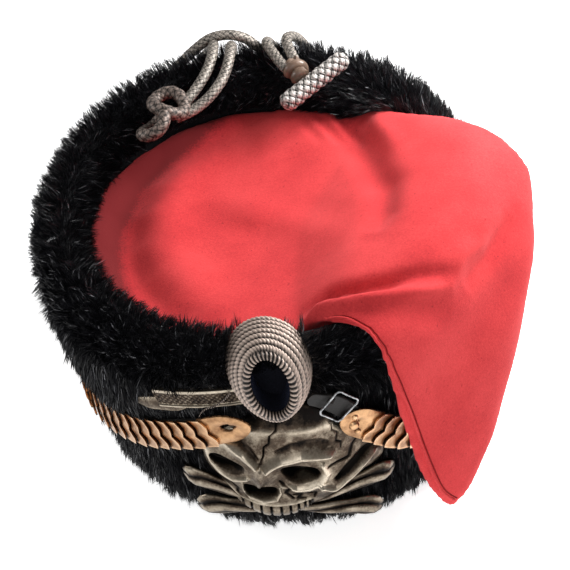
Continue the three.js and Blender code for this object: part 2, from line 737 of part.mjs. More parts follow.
// Leather end that runs through the buckle to the left, under the field badge.
const BUCKLE_TONGUE = [
  [34, 92], [27.5, 85], [23, 90], [16, 97], [9.5, 101.5],
  [9, 104], [12, 108.5], [17, 107], [24, 104], [30, 98],
];
const KEEPER = [[18.5, 101.5], [20.2, 104.5], [22.8, 103.3], [21.2, 100.2]];

// Thin wire from the field badge down to the left chin strap.
const TIE_ROWS = [
  { x: -28, z: 112, h: 5.5 }, { x: -32, z: 106, h: 5.2 }, { x: -36.5, z: 101, h: 5.2 },
  { x: -41, z: 98, h: 5 }, { x: -44, z: 94, h: 4.6 }, { x: -45.5, z: 90, h: 4.4 },
];

const TIE_RADIUS = 0.5;
function wireTie(grow = 0) {
  const curve = new THREE.CatmullRomCurve3(TIE_ROWS.map((row) => seatPoint(row.x, row.z, row.h)));
  return tube(curve, TIE_RADIUS + grow, TIE_ROWS.length + 2, WIRE_SIDES);
}

// The cap line lies on the back of the crest. Two strands run from the knot on
// the left over the crest: the first turns up again into the standing arch, the
// second passes below it to the slider, where a third short strand joins it.
const LINE_ROWS = {
  first: [
    { x: -41, y: 69, z: 153 }, { x: -34, y: 77, z: 156 }, { x: -27, y: 88, z: 159.5 },
    { x: -23, y: 99, z: 162.5 }, { x: -22, y: 109, z: 162 }, { x: -23, y: 119, z: 155 },
    { x: -28, y: 125.5, z: 144 }, { x: -38, y: 124.5, z: 134 }, { x: -47, y: 118, z: 134 },
    { x: -46, y: 114, z: 144 }, { x: -40, y: 113, z: 151 }, { x: -32, y: 113.5, z: 158 },
    { x: -23, y: 114, z: 163.5 }, { x: -13, y: 114, z: 164.5 }, { x: -4, y: 114, z: 161 },
    { x: 2.5, y: 114, z: 154 }, { x: 6.5, y: 117, z: 146 }, { x: 9, y: 122, z: 136 },
    { x: 10, y: 122.5, z: 126 }, { x: 10, y: 120, z: 117 },
  ],
  second: [
    { x: -36, y: 64, z: 150 }, { x: -27, y: 70.5, z: 154.5 }, { x: -18.5, y: 81, z: 158.5 },
    { x: -14, y: 93, z: 162 }, { x: -12.5, y: 104, z: 162.5 }, { x: -12, y: 117, z: 154 },
    { x: -12, y: 125, z: 143 }, { x: -11, y: 126, z: 129 }, { x: -6, y: 125.5, z: 116 },
    { x: 5, y: 125, z: 107 }, { x: 19, y: 124, z: 107 }, { x: 30, y: 122.5, z: 116 },
    { x: 34, y: 121.5, z: 130 }, { x: 31, y: 120.5, z: 144 }, { x: 25, y: 117, z: 156 },
    { x: 19.5, y: 109, z: 161.5 }, { x: 20, y: 100, z: 161 }, { x: 23.3, y: 87, z: 158.8 },
  ],
  third: [
    { x: 18, y: 121, z: 124 }, { x: 16.5, y: 122.5, z: 134 }, { x: 13, y: 121.5, z: 145 },
    { x: 9, y: 116, z: 155.5 }, { x: 8, y: 107, z: 160.5 }, { x: 11, y: 98, z: 160 },
    { x: 14.6, y: 90, z: 158.6 }, { x: 17.7, y: 83.8, z: 158.3 },
  ],
};

const lineTube = (name, grow = 0) => {
  const curve = curveThrough(LINE_ROWS[name]);
  const steps = Math.round(curve.getLength() / (LINE_DIAMETER * 2));
  return tube(curve, LINE_DIAMETER / 2 + grow, steps, LINE_SIDES);
};

// Knot that gathers the two strands on the left: one fat closed turn.
const KNOT_ROWS = [
  { x: -46, y: 60, z: 156 }, { x: -45, y: 70, z: 158 }, { x: -54, y: 74, z: 156 },
  { x: -62, y: 64, z: 155 }, { x: -63, y: 50, z: 152 }, { x: -55, y: 44, z: 148 },
  { x: -47, y: 49, z: 150 },
];

const KNOT = { steps: 16, radius: 4.3, bulge: 0.9, bulges: 3 };
function knotBody(grow = 0) {
  const curve = new THREE.CatmullRomCurve3(KNOT_ROWS.map((row) => vec(row.x, row.y, row.z)), true);
  const rings = [];
  for (let i = 0; i < KNOT.steps; i++) {
    const t = i / KNOT.steps;
    const spot = curve.getPointAt(t);
    const along = curve.getTangentAt(t);
    const out = vec(0, 0, 1).cross(along).normalize();
    const up = along.clone().cross(out).normalize();
    const radius = KNOT.radius + KNOT.bulge * Math.sin(t * Math.PI * 2 * KNOT.bulges) + grow;
    const ring = [];
    for (let j = 0; j < LINE_SIDES; j++) {
      const turn = (j / LINE_SIDES) * Math.PI * 2;
      ring.push(spot.clone()
        .addScaledVector(out, radius * Math.cos(turn))
        .addScaledVector(up, radius * Math.sin(turn)));
    }
    rings.push(ring);
  }
  return ringSolid(rings, true);
}

// Round solid between two points, with a radius for each place along it.
function turned(from, to, rows) {
  const along = to.clone().sub(from);
  const length = along.length();
  along.normalize();
  const side = along.clone().cross(vec(0, 0, 1)).normalize();
  const up = side.clone().cross(along);
  return ringSolid(rows.map(([t, radius]) => {
    const ring = [];
    for (let j = 0; j < TURNED_SIDES; j++) {
      const turn = (j / TURNED_SIDES) * Math.PI * 2;
      ring.push(from.clone().addScaledVector(along, t * length)
        .addScaledVector(side, radius * Math.cos(turn))
        .addScaledVector(up, radius * Math.sin(turn)));
    }
    return ring;
  }));
}

const SLIDER = { from: vec(19, 88, 159), to: vec(26.5, 75, 158), radius: 7 };
const TOGGLE = { from: vec(13, 62, 150), to: vec(51, 85, 162), radius: 4.9 };

const sliderBody = (grow = 0) => turned(SLIDER.from, SLIDER.to, [
  [0, 4 + grow], [0.12, 6.4 + grow], [0.3, SLIDER.radius + grow], [0.5, 6.6 + grow],
  [0.7, SLIDER.radius + grow], [0.9, 6.2 + grow], [1, 4.5 + grow],
]);

const toggleBody = (grow = 0) => turned(TOGGLE.from, TOGGLE.to, [
  [0, 2.2 + grow], [0.04, 4 + grow], [0.12, TOGGLE.radius + grow], [0.5, TOGGLE.radius + 0.4 + grow],
  [0.88, TOGGLE.radius + grow], [0.96, 4 + grow], [1, 2.2 + grow],
]);

const material = (name) => new THREE.MeshStandardMaterial(MATERIALS[name]);
const cap = new THREE.Group();

function add(name, geometry, finish) {
  const mesh = new THREE.Mesh(geometry, material(finish));
  mesh.name = name;
  cap.add(mesh);
  return mesh;
}

// Space that the chin scales and their strap take up in the fur.
function strapSpace(side) {
  const { length, point } = straps[side];
  const width = SCALE_WIDTH + 4;
  const place = (h) => (t, across) => point(-2 + (length + 4) * t, (across - 0.5) * width, h);
  return toSolid(plate(1, STRAP_STEPS, place(20), place(-STRAP_THICK / 2 - CLEAR)));
}

const bag = bagBody();
const skull = skullBadge();
const scroll = scrollBadge();
const lines = Object.keys(LINE_ROWS).map((name) => toSolid(lineTube(name, CLEAR)));
const knot = mainBody(lines.reduce((solid, line) => solid.subtract(line), toSolid(knotBody())));

const slider = mainBody(lines.reduce((solid, line) => solid.subtract(line), toSolid(sliderBody()))
  .subtract(toSolid(toggleBody(CLEAR))));
const scrollSpace = ribbon(-6.5, 6.5, 1.2, 4.2, SCROLL.left - 1, SCROLL.right + 1);
const cockade = mainBody(toSolid(cockadeBody())
  .subtract(scrollSpace)
  .subtract(seatSpace(SKULL_EDGE, 1.5, 9))
  .subtract(bagSpace()));

let fur = toSolid(furWall());
for (const row of LOCK_ROWS) {
  for (let i = 0; i < row.count; i++) {
    const angle = ((i + row.turn) / row.count) * Math.PI * 2;
    fur = fur.add(toSolid(furLock(angle, row.z, row.length, row.width)));
  }
}
const cutters = [
  bagSpace(),
  strapSpace('left'),
  strapSpace('right'),
  seatSpace(SKULL_EDGE, 6),
  ...BONES.map(boneSpace),
  ribbon(-7.5, 7.5, -0.5, 45, SCROLL.left - 1.5, SCROLL.right + 1.5),
  seatSpace(SCROLL_TAIL, 1),
  seatSpace(BUCKLE_TONGUE, 2),
  toSolid(ringSolid([cockadeRing(22, 32, -CLEAR), cockadeRing(22, 32, 40)])),
  ...lines,
  toSolid(wireTie(CLEAR)),
  toSolid(knotBody(CLEAR)),
  toSolid(sliderBody(CLEAR)),
  toSolid(toggleBody(CLEAR)),
];
fur = mainBody(cutters.reduce((solid, cutter) => solid.subtract(cutter), fur), FUR_SLIVER);

add('fur_cap', toGeometry(fur), 'fur');
add('bag', toGeometry(bag), 'cloth');
add('skull_badge', toGeometry(skull), 'silver');
add('scroll_badge', toGeometry(scroll), 'silver');
add('cockade_body', toGeometry(cockade), 'cord');
add('cockade_lining', cockadeLining(), 'velvet');
for (const side of ['left', 'right']) {
  add(`chin_strap_${side}`, chinStrap(side), 'leather');
  for (let i = 0; i < scaleSteps(side).count; i++) {
    const number = String(i + 1).padStart(2, '0');
    add(`chin_scale_${side}_${number}`, chinScale(side, i), 'copper');
  }
  add(`end_plate_${side}`, endPlate(side), 'copper');
  add(`side_boss_${side}`, sideBoss(side), 'copper');
}
add('plate_rivet', rivet(), 'copper');
add('buckle_frame', buckleFrame(), 'silver');
add('buckle_tongue', seatPlate(BUCKLE_TONGUE, 4.4, 6), 'leather');
add('buckle_keeper', seatPlate(KEEPER, 6.3, 6.9), 'silver');
add('wire_tie', wireTie(), 'silver');
Object.keys(LINE_ROWS).forEach((name) => add(`cap_line_${name}`, lineTube(name), 'cord'));
add('line_knot', toGeometry(knot), 'cord');
add('line_slider', toGeometry(slider), 'leather');
add('line_toggle', toggleBody(), 'cord');

// The cap stands on its rim, with the middle of its foot print at the origin.
const box = new THREE.Box3();
for (const mesh of cap.children) {
  if (!mesh.name.includes('line_')) box.expandByObject(mesh);
}
cap.position.set(-(box.min.x + box.max.x) / 2, -(box.min.y + box.max.y) / 2, -box.min.z);

export default cap;
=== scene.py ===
import math
import bpy
import numpy as np
from mathutils import Matrix, Vector
from mathutils.bvhtree import BVHTree
from mathutils.kdtree import KDTree


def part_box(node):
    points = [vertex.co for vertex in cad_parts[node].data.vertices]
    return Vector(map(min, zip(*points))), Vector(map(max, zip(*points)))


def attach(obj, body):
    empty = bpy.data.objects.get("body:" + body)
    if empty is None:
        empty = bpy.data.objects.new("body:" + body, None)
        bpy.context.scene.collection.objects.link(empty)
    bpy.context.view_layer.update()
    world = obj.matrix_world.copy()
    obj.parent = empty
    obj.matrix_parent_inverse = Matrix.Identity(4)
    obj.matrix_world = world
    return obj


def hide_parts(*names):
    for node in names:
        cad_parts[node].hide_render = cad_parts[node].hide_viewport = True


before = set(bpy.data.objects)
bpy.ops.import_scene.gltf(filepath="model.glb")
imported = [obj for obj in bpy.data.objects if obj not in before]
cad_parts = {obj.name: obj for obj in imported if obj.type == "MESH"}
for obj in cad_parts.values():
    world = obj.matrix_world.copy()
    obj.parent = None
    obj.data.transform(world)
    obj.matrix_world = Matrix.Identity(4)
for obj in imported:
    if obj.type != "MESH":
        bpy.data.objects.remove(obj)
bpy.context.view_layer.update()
mm = 0.001

# the cap is laid out in millimetres about a point near the middle of its rim; its buckle
# keeper tells how far the frame's origin lies from there
keeperMiddle = np.array([20.65, -117.13, 102.35])
keeperLow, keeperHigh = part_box("buckle_keeper")
capShift = np.array((keeperLow + keeperHigh) / 2) - keeperMiddle * mm


def toFrame(points):
    return np.asarray(points, float) * mm + capShift


def toCap(points):
    return (np.asarray(points, float) - capShift) / mm


# a table is a list of rows with named columns
def table(columns, *rows):
    return [dict(zip(columns.split(), row)) for row in rows]


def column(rows, key):
    return np.array([row[key] for row in rows], float)


# rows of vectors made one long, the run along a row of points, and points read at a run
def unit(rows, least=0):
    return rows / np.maximum(np.linalg.norm(rows, axis=1), least)[:, None]


def runAlong(points):
    return np.concatenate([[0], np.cumsum(np.linalg.norm(np.diff(points, axis=0), axis=1))])


def pointsAt(places, run, points, axes=(0, 1, 2)):
    return np.stack([np.interp(places, run, points[:, k]) for k in axes], 1)


# camera and light
photo = {"eye": (4, -694.8, 721.9), "target": (4, 0, 74), "roll": -6, "lens": 108.6, "sensor": 36}


def aimAt(obj, place, target, roll=0):
    obj.location = toFrame(place)
    away = Vector(place) - Vector(target)
    turn = away.to_track_quat("Z", "Y").to_matrix() @ Matrix.Rotation(math.radians(roll), 3, "Z")
    obj.rotation_euler = turn.to_euler()


bpy.ops.object.camera_add()
camera = bpy.context.object
camera.data.lens = photo["lens"]
camera.data.sensor_width = photo["sensor"]
camera.data.clip_start = 0.05
aimAt(camera, photo["eye"], photo["target"], photo["roll"])
bpy.context.scene.camera = camera

lights = {
    "key": {"place": (-600, 160, 300), "size": 0.2, "power": 1.2},
    "front": {"place": (-120, -850, 560), "size": 0.6, "power": 1.9},
    "right": {"place": (300, 130, 380), "size": 0.2, "power": 3.3},
    "back": {"place": (200, 700, 600), "size": 0.5, "power": 1.0},
}
for name, lamp in lights.items():
    bpy.ops.object.light_add(type="AREA")
    light = bpy.context.object
    light.name = name + "Light"
    light.data.size = lamp["size"]
    light.data.energy = lamp["power"]
    aimAt(light, lamp["place"], (0, 0, 80))

world = bpy.data.worlds.new("studio")
world.use_nodes = True
background = world.node_tree.nodes["Background"].inputs
background["Color"].default_value = (1, 1, 1, 1)
background["Strength"].default_value = 0.24
bpy.context.scene.world = world
bpy.context.scene.view_settings.view_transform = "Standard"


# materials: a few helpers, then one function for each finish
def newMaterial(name, **sockets):
    made = bpy.data.materials.new(name)
    made.use_nodes = True
    shader = made.node_tree.nodes["Principled BSDF"]
    for key, value in sockets.items():
        shader.inputs[key.replace("_", " ")].default_value = value  # colours need four numbers
    return made


def addNode(mat, kind, inputs=None, **settings):
    node = mat.node_tree.nodes.new(kind)
    for key, value in settings.items():
        setattr(node, key, value)
    for key, value in (inputs or {}).items():
        if isinstance(value, bpy.types.NodeSocket):
            mat.node_tree.links.new(value, node.inputs[key])
        else:
            node.inputs[key].default_value = value
    return node


def toShader(mat, socket, key):
    mat.node_tree.links.new(socket, mat.node_tree.nodes["Principled BSDF"].inputs[key])


def ramp(mat, factor, stops):
    node = addNode(mat, "ShaderNodeValToRGB", {"Fac": factor})
    while len(node.color_ramp.elements) < len(stops):
        node.color_ramp.elements.new(0.5)
    for element, (place, colour) in zip(node.color_ramp.elements, stops):
        element.position = place
        element.color = (*colour, 1)
    return node.outputs["Color"]


def paint(mat, factor, stops):
    toShader(mat, ramp(mat, factor, stops), "Base Color")


def grain(mat, scale, detail=3, rough=0.55, kind="ShaderNodeTexNoise", output="Fac"):
    coords = addNode(mat, "ShaderNodeTexCoord").outputs["Object"]
    values = {"Vector": coords, "Scale": scale}
    if kind == "ShaderNodeTexNoise":
        values.update({"Detail": detail, "Roughness": rough})
    return addNode(mat, kind, values).outputs[output]


def attribute(mat, name):
    return addNode(mat, "ShaderNodeAttribute", attribute_name=name).outputs["Fac"]


def maths(mat, how, a, b):
    return addNode(mat, "ShaderNodeMath", {0: a, 1: b}, operation=how).outputs[0]


def mixIn(mat, base, noise, share):
    centred = maths(mat, "SUBTRACT", noise, 0.5)
    return maths(mat, "ADD", base, maths(mat, "MULTIPLY", centred, share))


def roughBump(mat, height, distance, strength=1.0):
    bump = addNode(mat, "ShaderNodeBump", {"Height": height, "Distance": distance, "Strength": strength})
    toShader(mat, bump.outputs["Normal"], "Normal")


def roughness(mat, factor, low, high):
    spread = addNode(mat, "ShaderNodeMapRange", {"Value": factor, "To Min": low, "To Max": high})
    toShader(mat, spread.outputs["Result"], "Roughness")


def feltFinish():
    mat = newMaterial("redFelt", Sheen_Weight=0.22, Sheen_Roughness=0.5, Specular_IOR_Level=0.15,
                      Sheen_Tint=(1.0, 0.35, 0.35, 1))
    cloud = grain(mat, 22, 4, 0.6)
    fibre = grain(mat, 900, 4, 0.75)
    mixed = maths(mat, "ADD", maths(mat, "MULTIPLY", cloud, 0.55), maths(mat, "MULTIPLY", fibre, 0.45))
    lint = maths(mat, "MAXIMUM", maths(mat, "SUBTRACT", grain(mat, 640, 2, 0.4), 0.67), 0.0)
    mixed = maths(mat, "SUBTRACT", mixed, maths(mat, "MULTIPLY", lint, 1.6))
    # painted shade: the shade attribute darkens the felt where the fur crest and the sunken folds shadow it
    mixed = maths(mat, "SUBTRACT", mixed, attribute(mat, "shade"))
    paint(mat, mixed, [
        (0.12, (0.16, 0.012, 0.014)), (0.32, (0.50, 0.030, 0.035)),
        (0.47, (0.64, 0.045, 0.049)), (0.60, (0.74, 0.064, 0.066)),
    ])
    roughness(mat, fibre, 0.82, 0.98)
    nap = maths(mat, "MULTIPLY", grain(mat, 2600, 2), 0.6)
    roughBump(mat, maths(mat, "ADD", fibre, nap), 0.0003, 0.5)
    return mat


def hairFinish():
    mat = newMaterial("blackHair", Specular_IOR_Level=0.6)
    tone = attribute(mat, "tone")
    # the top of the ramp is the colour of the few pale hairs, partly real pale hairs and partly painted
    # glints
    paint(mat, tone, [
        (0.0, (0.0035, 0.0035, 0.0045)), (0.7, (0.010, 0.010, 0.013)),
        (0.96, (0.035, 0.035, 0.042)), (1.0, (0.30, 0.30, 0.32)),
    ])
    roughness(mat, tone, 0.42, 0.30)
    return mat


def hideFinish():
    mat = newMaterial("blackHide", Specular_IOR_Level=0.2)
    speck = grain(mat, 700, 4, 0.7)
    paint(mat, speck, [(0.3, (0.002, 0.002, 0.003)), (0.75, (0.012, 0.012, 0.014))])
    roughness(mat, speck, 0.7, 0.95)
    roughBump(mat, speck, 0.0008, 0.6)
    return mat


def silverFinish():
    mat = newMaterial("tarnishedSilver", Metallic=1.0)
    cloud = grain(mat, 130, 6, 0.65)
    mixed = mixIn(mat, attribute(mat, "wear"), cloud, 0.9)
    mixed = mixIn(mat, mixed, grain(mat, 900, 3, 0.6), 0.35)
    paint(mat, mixed, [
        (0.05, (0.012, 0.010, 0.009)), (0.33, (0.085, 0.062, 0.045)),
        (0.55, (0.30, 0.25, 0.19)), (0.88, (0.62, 0.54, 0.43)),
    ])
    roughness(mat, mixed, 0.5, 0.26)
    roughBump(mat, cloud, 0.0005, 0.5)
    return mat


def copperFinish():
    mat = newMaterial("wornCopper", Metallic=1.0)
    mixed = mixIn(mat, attribute(mat, "wear"), grain(mat, 160, 5, 0.6), 0.8)
    paint(mat, mixed, [
        (0.12, (0.02, 0.010, 0.006)), (0.36, (0.22, 0.105, 0.05)),
        (0.60, (0.60, 0.35, 0.18)), (0.95, (0.80, 0.53, 0.32)),
    ])
    roughness(mat, mixed, 0.48, 0.22)
    roughBump(mat, grain(mat, 700, 4), 0.0002, 0.4)
    return mat


def cordFinish(name, dark, light, fleck):
    mat = newMaterial(name, Metallic=0.35, Specular_IOR_Level=0.5)
    flecks = grain(mat, 700, 3, 0.8)
    mixed = mixIn(mat, attribute(mat, "wear"), grain(mat, 260, 4, 0.7), 0.7)
    mixed = mixIn(mat, mixed, flecks, fleck)
    weave = maths(mat, "SINE", maths(mat, "MULTIPLY", attribute(mat, "chevron"), 2 * math.pi), 0.0)
    mixed = maths(mat, "ADD", mixed, maths(mat, "MULTIPLY", weave, 0.17))
    paint(mat, mixed, [(0.1, dark), (0.45, [0.45 * v for v in light]), (0.8, light)])
    roughness(mat, flecks, 0.35, 0.65)
    roughBump(mat, flecks, 0.0003, 0.6)
    return mat


def leatherFinish(name, dark, light, low, high):
    mat = newMaterial(name, Specular_IOR_Level=0.5)
    cell = grain(mat, 900, kind="ShaderNodeTexVoronoi", output="Distance")
    cloud = grain(mat, 120, 5, 0.6)
    paint(mat, cloud, [(0.3, dark), (0.7, light)])
    roughness(mat, cloud, low, high)
    roughBump(mat, cell, 0.0002, 0.5)
    return mat


def velvetFinish():
    mat = newMaterial("blackVelvet", Sheen_Weight=0.12, Sheen_Roughness=0.3, Specular_IOR_Level=0.2,
                      Sheen_Tint=(0.35, 0.42, 0.8, 1))
    pile = grain(mat, 1200, 4, 0.7)
    paint(mat, pile, [(0.3, (0.002, 0.002, 0.004)), (0.7, (0.012, 0.013, 0.022))])
    roughness(mat, pile, 0.8, 1.0)
    roughBump(mat, pile, 0.0005, 0.7)
    return mat


def wireFinish():
    mat = newMaterial("brightWire", Metallic=1.0)
    stain = grain(mat, 240, 5, 0.7)
    paint(mat, stain, [
        (0.36, (0.05, 0.05, 0.055)), (0.5, (0.32, 0.33, 0.34)), (0.7, (0.62, 0.63, 0.65)),
    ])
    roughness(mat, stain, 0.4, 0.16)
    return mat


# the dark red of a painted shadow line laid beside the bag's piping
def pipingShadeFinish():
    mat = newMaterial("pipingShade", Specular_IOR_Level=0.1)
    fibre = grain(mat, 900, 4, 0.75)
    paint(mat, fibre, [(0.3, (0.16, 0.009, 0.010)), (0.7, (0.34, 0.021, 0.023))])
    roughness(mat, fibre, 0.85, 1.0)
    return mat


felt = feltFinish()
seamShade = pipingShadeFinish()
hair = hairFinish()
hide = hideFinish()
silver = silverFinish()
copper = copperFinish()
lineCord = cordFinish("silverCord", (0.010, 0.008, 0.007), (0.42, 0.37, 0.32), 0.9)
knotCord = cordFinish("darkSilverCord", (0.008, 0.006, 0.005), (0.26, 0.20, 0.17), 0.9)
toggleCord = cordFinish("brightSilverCord", (0.012, 0.010, 0.009), (0.68, 0.63, 0.59), 1.5)
roseCord = cordFinish("brownCord", (0.008, 0.006, 0.005), (0.56, 0.44, 0.37), 0.5)
strapLeather = leatherFinish("strapLeather", (0.004, 0.0035, 0.003), (0.014, 0.011, 0.010), 0.5, 0.75)
knotLeather = leatherFinish("knotLeather", (0.085, 0.050, 0.035), (0.24, 0.16, 0.115), 0.22, 0.42)
velvet = velvetFinish()
brightWire = wireFinish()
print("finishes made")


# making pieces: a grid is added, each of its points is put in place, and its seams are merged
def deselectAll():
    if bpy.context.object and bpy.context.object.mode == "EDIT":
        bpy.ops.object.mode_set(mode="OBJECT")
    bpy.ops.object.select_all(action="DESELECT")


def only(obj):
    deselectAll()
    obj.select_set(True)
    bpy.context.view_layer.objects.active = obj


def coordsOf(obj):
    flat = np.empty(len(obj.data.vertices) * 3)
    obj.data.vertices.foreach_get("co", flat)
    return flat.reshape(-1, 3)


def setCoords(obj, points):
    obj.data.vertices.foreach_set("co", np.asarray(points, float).ravel())
    obj.data.update()


def normalsOf(obj):
    flat = np.empty(len(obj.data.vertices) * 3)
    obj.data.vertex_normals.foreach_get("vector", flat)
    return flat.reshape(-1, 3)


def setAttribute(obj, name, values):
    layer = obj.data.attributes.get(name) or obj.data.attributes.new(name, "FLOAT", "POINT")
    layer.data.foreach_set("value", np.asarray(values, np.float32).ravel())


def gridPiece(name, across, along, place, merge=True, close=False, wear=None, chevron=None):
    deselectAll()
    bpy.ops.mesh.primitive_grid_add(x_subdivisions=across, y_subdivisions=along, size=2)
    obj = bpy.context.object
    obj.name = name
    spots = coordsOf(obj)
    u, v = (spots[:, 0] + 1) / 2, (spots[:, 1] + 1) / 2
    setCoords(obj, toFrame(place(u, v)))
    if wear is not None:
        setAttribute(obj, "wear", wear(u, v))
    if chevron is not None:
        setAttribute(obj, "chevron", chevron(u, v))
    bpy.ops.object.mode_set(mode="EDIT")
    bpy.ops.mesh.select_all(action="SELECT")
    if merge:
        bpy.ops.mesh.remove_doubles(threshold=0.002 * mm)
    if close:
        bpy.ops.mesh.fill_holes(sides=0)
        bpy.ops.mesh.normals_make_consistent(inside=False)
    bpy.ops.object.mode_set(mode="OBJECT")
    return obj


def applyModifier(obj, kind, **settings):
    only(obj)
    modifier = obj.modifiers.new(kind.lower(), kind)
    for key, value in settings.items():
        setattr(modifier, key, value)
    bpy.ops.object.modifier_apply(modifier=modifier.name)


def joined(name, parts):
    deselectAll()
    for part in parts:
        part.select_set(True)
    bpy.context.view_layer.objects.active = parts[0]
    if len(parts) > 1:
        bpy.ops.object.join()
    parts[0].name = name
    return parts[0]


finished = []


def finishPiece(obj, mat, slot, *nodes, angle=60):
    finished.append(obj)
    obj.data.materials.clear()
    obj.data.materials.append(mat)
    only(obj)
    bpy.ops.object.shade_smooth_by_angle(angle=math.radians(angle))
    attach(obj, "root")
    if nodes:
        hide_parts(*nodes)
    return obj


# curves: the same rounded route through a row of points for cords, straps and pouch
def routePoint(points, t, closed=False, tension=None):
    points = np.asarray(points, float)
    count = len(points)
    spot = t * (count if closed else count - 1)
    first = np.floor(spot).astype(int)
    if not closed:
        first = np.minimum(first, count - 2)
    share = spot - first
    if closed:
        quad = [points[(first + k) % count] for k in (-1, 0, 1, 2)]
    else:
        padded = np.vstack([2 * points[0] - points[1], points, 2 * points[-1] - points[-2]])
        quad = [padded[first + k] for k in (0, 1, 2, 3)]
    a, b, c, d = quad
    if tension is None:
        step = [np.maximum(np.linalg.norm(q - p, axis=1), 1e-6) ** 0.5 for p, q in ((a, b), (b, c), (c, d))]
        one, two, three = (s[:, None] for s in step)
        m1 = ((b - a) / one - (c - a) / (one + two) + (c - b) / two) * two
        m2 = ((c - b) / two - (d - b) / (two + three) + (d - c) / three) * two
    else:
        m1, m2 = (c - a) * tension, (d - b) * tension
    s = share[:, None]
    start = (2 * s**3 - 3 * s**2 + 1) * b + (s**3 - 2 * s**2 + s) * m1
    return start + (3 * s**2 - 2 * s**3) * c + (s**3 - s**2) * m2


def route(points, closed=False, samples=1600):
    dense = routePoint(points, np.linspace(0, 1, samples + 1), closed)
    run = runAlong(dense)
    return dense, run


def alongRoute(points, count, closed=False):
    dense, run = route(points, closed)
    places = np.linspace(0, run[-1], count + 1)
    centre = pointsAt(places, run, dense)
    travel = np.gradient(centre, axis=0)
    if closed:
        travel[0] = travel[-1] = centre[1] - centre[-2]
    travel = unit(travel)
    side = np.empty_like(centre)
    start = np.cross(travel[0], (0, 0, 1.0))
    side[0] = start / np.linalg.norm(start)
    for i in range(1, len(centre)):
        carried = side[i - 1] - travel[i] * np.dot(side[i - 1], travel[i])
        side[i] = carried / np.linalg.norm(carried)
    up = np.cross(travel, side)
    if closed:
        off = math.atan2(np.dot(side[-1], up[0]), np.dot(side[-1], side[0]))
        turn = (-off * np.linspace(0, 1, count + 1))[:, None]
        side, up = side * np.cos(turn) + up * np.sin(turn), up * np.cos(turn) - side * np.sin(turn)
    return centre, side, up, run[-1]


def plait(strands, rows, depth):
    def relief(u, v):
        a = strands * u + rows * v
        b = strands * u - rows * v
        ridgeA = 1 - (2 * (a % 1) - 1) ** 2
        ridgeB = 1 - (2 * (b % 1) - 1) ** 2
        return depth * (ridgeA * ridgeB) ** 0.6
    return relief


herringbone = {"columns": 5, "pitch": 1.5, "slant": 1.1}  # the fine weave seen on every cord


def tubePiece(name, points, radius, around, along, closed=False, relief=None):
    centre, side, up, length = alongRoute(points, along, closed)
    radius = radius if callable(radius) else (lambda v, r=radius: np.full_like(v, r))
    relief = relief or (lambda u, v: np.zeros_like(u))

    def place(u, v):
        row = np.rint(v * along).astype(int)
        reach = (radius(v) + relief(u % 1, v))[:, None]
        turn = (u * 2 * math.pi)[:, None]
        return centre[row] + side[row] * np.cos(turn) * reach + up[row] * np.sin(turn) * reach

    def wear(u, v):
        rise = relief(u % 1, v)
        return 0.02 + 0.8 * rise / max(rise.max(), 1e-6)

    def chevron(u, v):
        zigzag = np.abs(2 * ((u * herringbone["columns"]) % 1) - 1)
        return length / herringbone["pitch"] * v + herringbone["slant"] * zigzag

    piece = gridPiece(name, around, along, place, close=True, wear=wear, chevron=chevron)
    return piece, centre, length


# cap line: two strands from the knot on the left, a third short one, slider and toggle
lineRoutes = {
    "first": [
        (-41, 69, 153), (-34, 77, 156), (-27, 88, 159.5), (-23, 99, 162.5),
        (-22, 109, 162), (-23, 119, 155), (-28, 125.5, 144), (-38, 124.5, 134),
        (-47, 118, 134), (-46, 114, 144), (-40, 113, 151), (-32, 113.5, 158),
        (-23, 114, 163.5), (-13, 114, 164.5), (-4, 114, 161), (2.5, 114, 154),
        (6.5, 117, 146), (9, 122, 136), (10, 122.5, 126), (10, 120, 117),
    ],
    "second": [
        (-46, 60, 151), (-37, 64, 151.5), (-27, 70.5, 154.5), (-18.5, 81, 158.5), (-14, 93, 162),
        (-12.5, 104, 162.5), (-12, 117, 154), (-12, 125, 143), (-11, 126, 129),
        (-6, 125.5, 116), (5, 125, 107), (19, 124, 107), (30, 122.5, 116),
        (34, 121.5, 130), (31, 120.5, 144), (25, 117, 156), (19.5, 109, 161.5),
        (20, 100, 161), (23.3, 87, 158.8),
    ],
    "third": [
        (18, 121, 124), (16.5, 122.5, 134), (13, 121.5, 145), (9, 116, 155.5),
        (8, 107, 160.5), (11, 98, 160), (14.6, 90, 158.6), (17.7, 83.8, 158.3),
    ],
}
lineSize = {"radius": 2.7, "plait": 0.35, "strands": 6, "pitch": 3.6, "around": 30, "step": 0.75}
linePieces = {}
for name, rows in lineRoutes.items():
    if name == "first":
        rows = rows[::-1]
    length = route(rows)[1][-1]
    steps = round(length / lineSize["step"])
    weave = plait(lineSize["strands"], round(length / lineSize["pitch"]), lineSize["plait"])
    piece, centre, length = tubePiece(
        name + "Line", rows, lineSize["radius"], lineSize["around"], steps, relief=weave)
    finishPiece(piece, lineCord, "cord", "cap_line_" + name)
    linePieces[name] = (piece, centre, length)

knotLoops = {
    "outer": {"middle": (-49, 66, 156.5), "wide": 8.5, "tall": 10, "lean": 18, "tilt": 10},
    "inner": {"middle": (-57, 54.5, 152), "wide": 8.2, "tall": 9.5, "lean": -24, "tilt": -42},
}
knotCordSize = {"radius": 3.3, "rise": 1.6, "strands": 5, "rows": 13, "plait": 0.35}
knotParts = []
for name, loop in knotLoops.items():
    turn = np.linspace(0, 2 * math.pi, 12, endpoint=False)
    rise = knotCordSize["rise"] * np.sin(2 * turn)
    flat = np.stack([loop["wide"] * np.cos(turn), loop["tall"] * np.sin(turn), rise], 1)
    spin = Matrix.Rotation(math.radians(loop["lean"]), 3, "Z")
    spin = spin @ Matrix.Rotation(math.radians(loop["tilt"]), 3, "Y")
    ring = flat @ np.array(spin).T + loop["middle"]
    weave = plait(*(knotCordSize[key] for key in ("strands", "rows", "plait")))
    radius = knotCordSize["radius"]
    knotParts.append(tubePiece(name + "Loop", ring, radius, 36, 130, closed=True, relief=weave)[0])
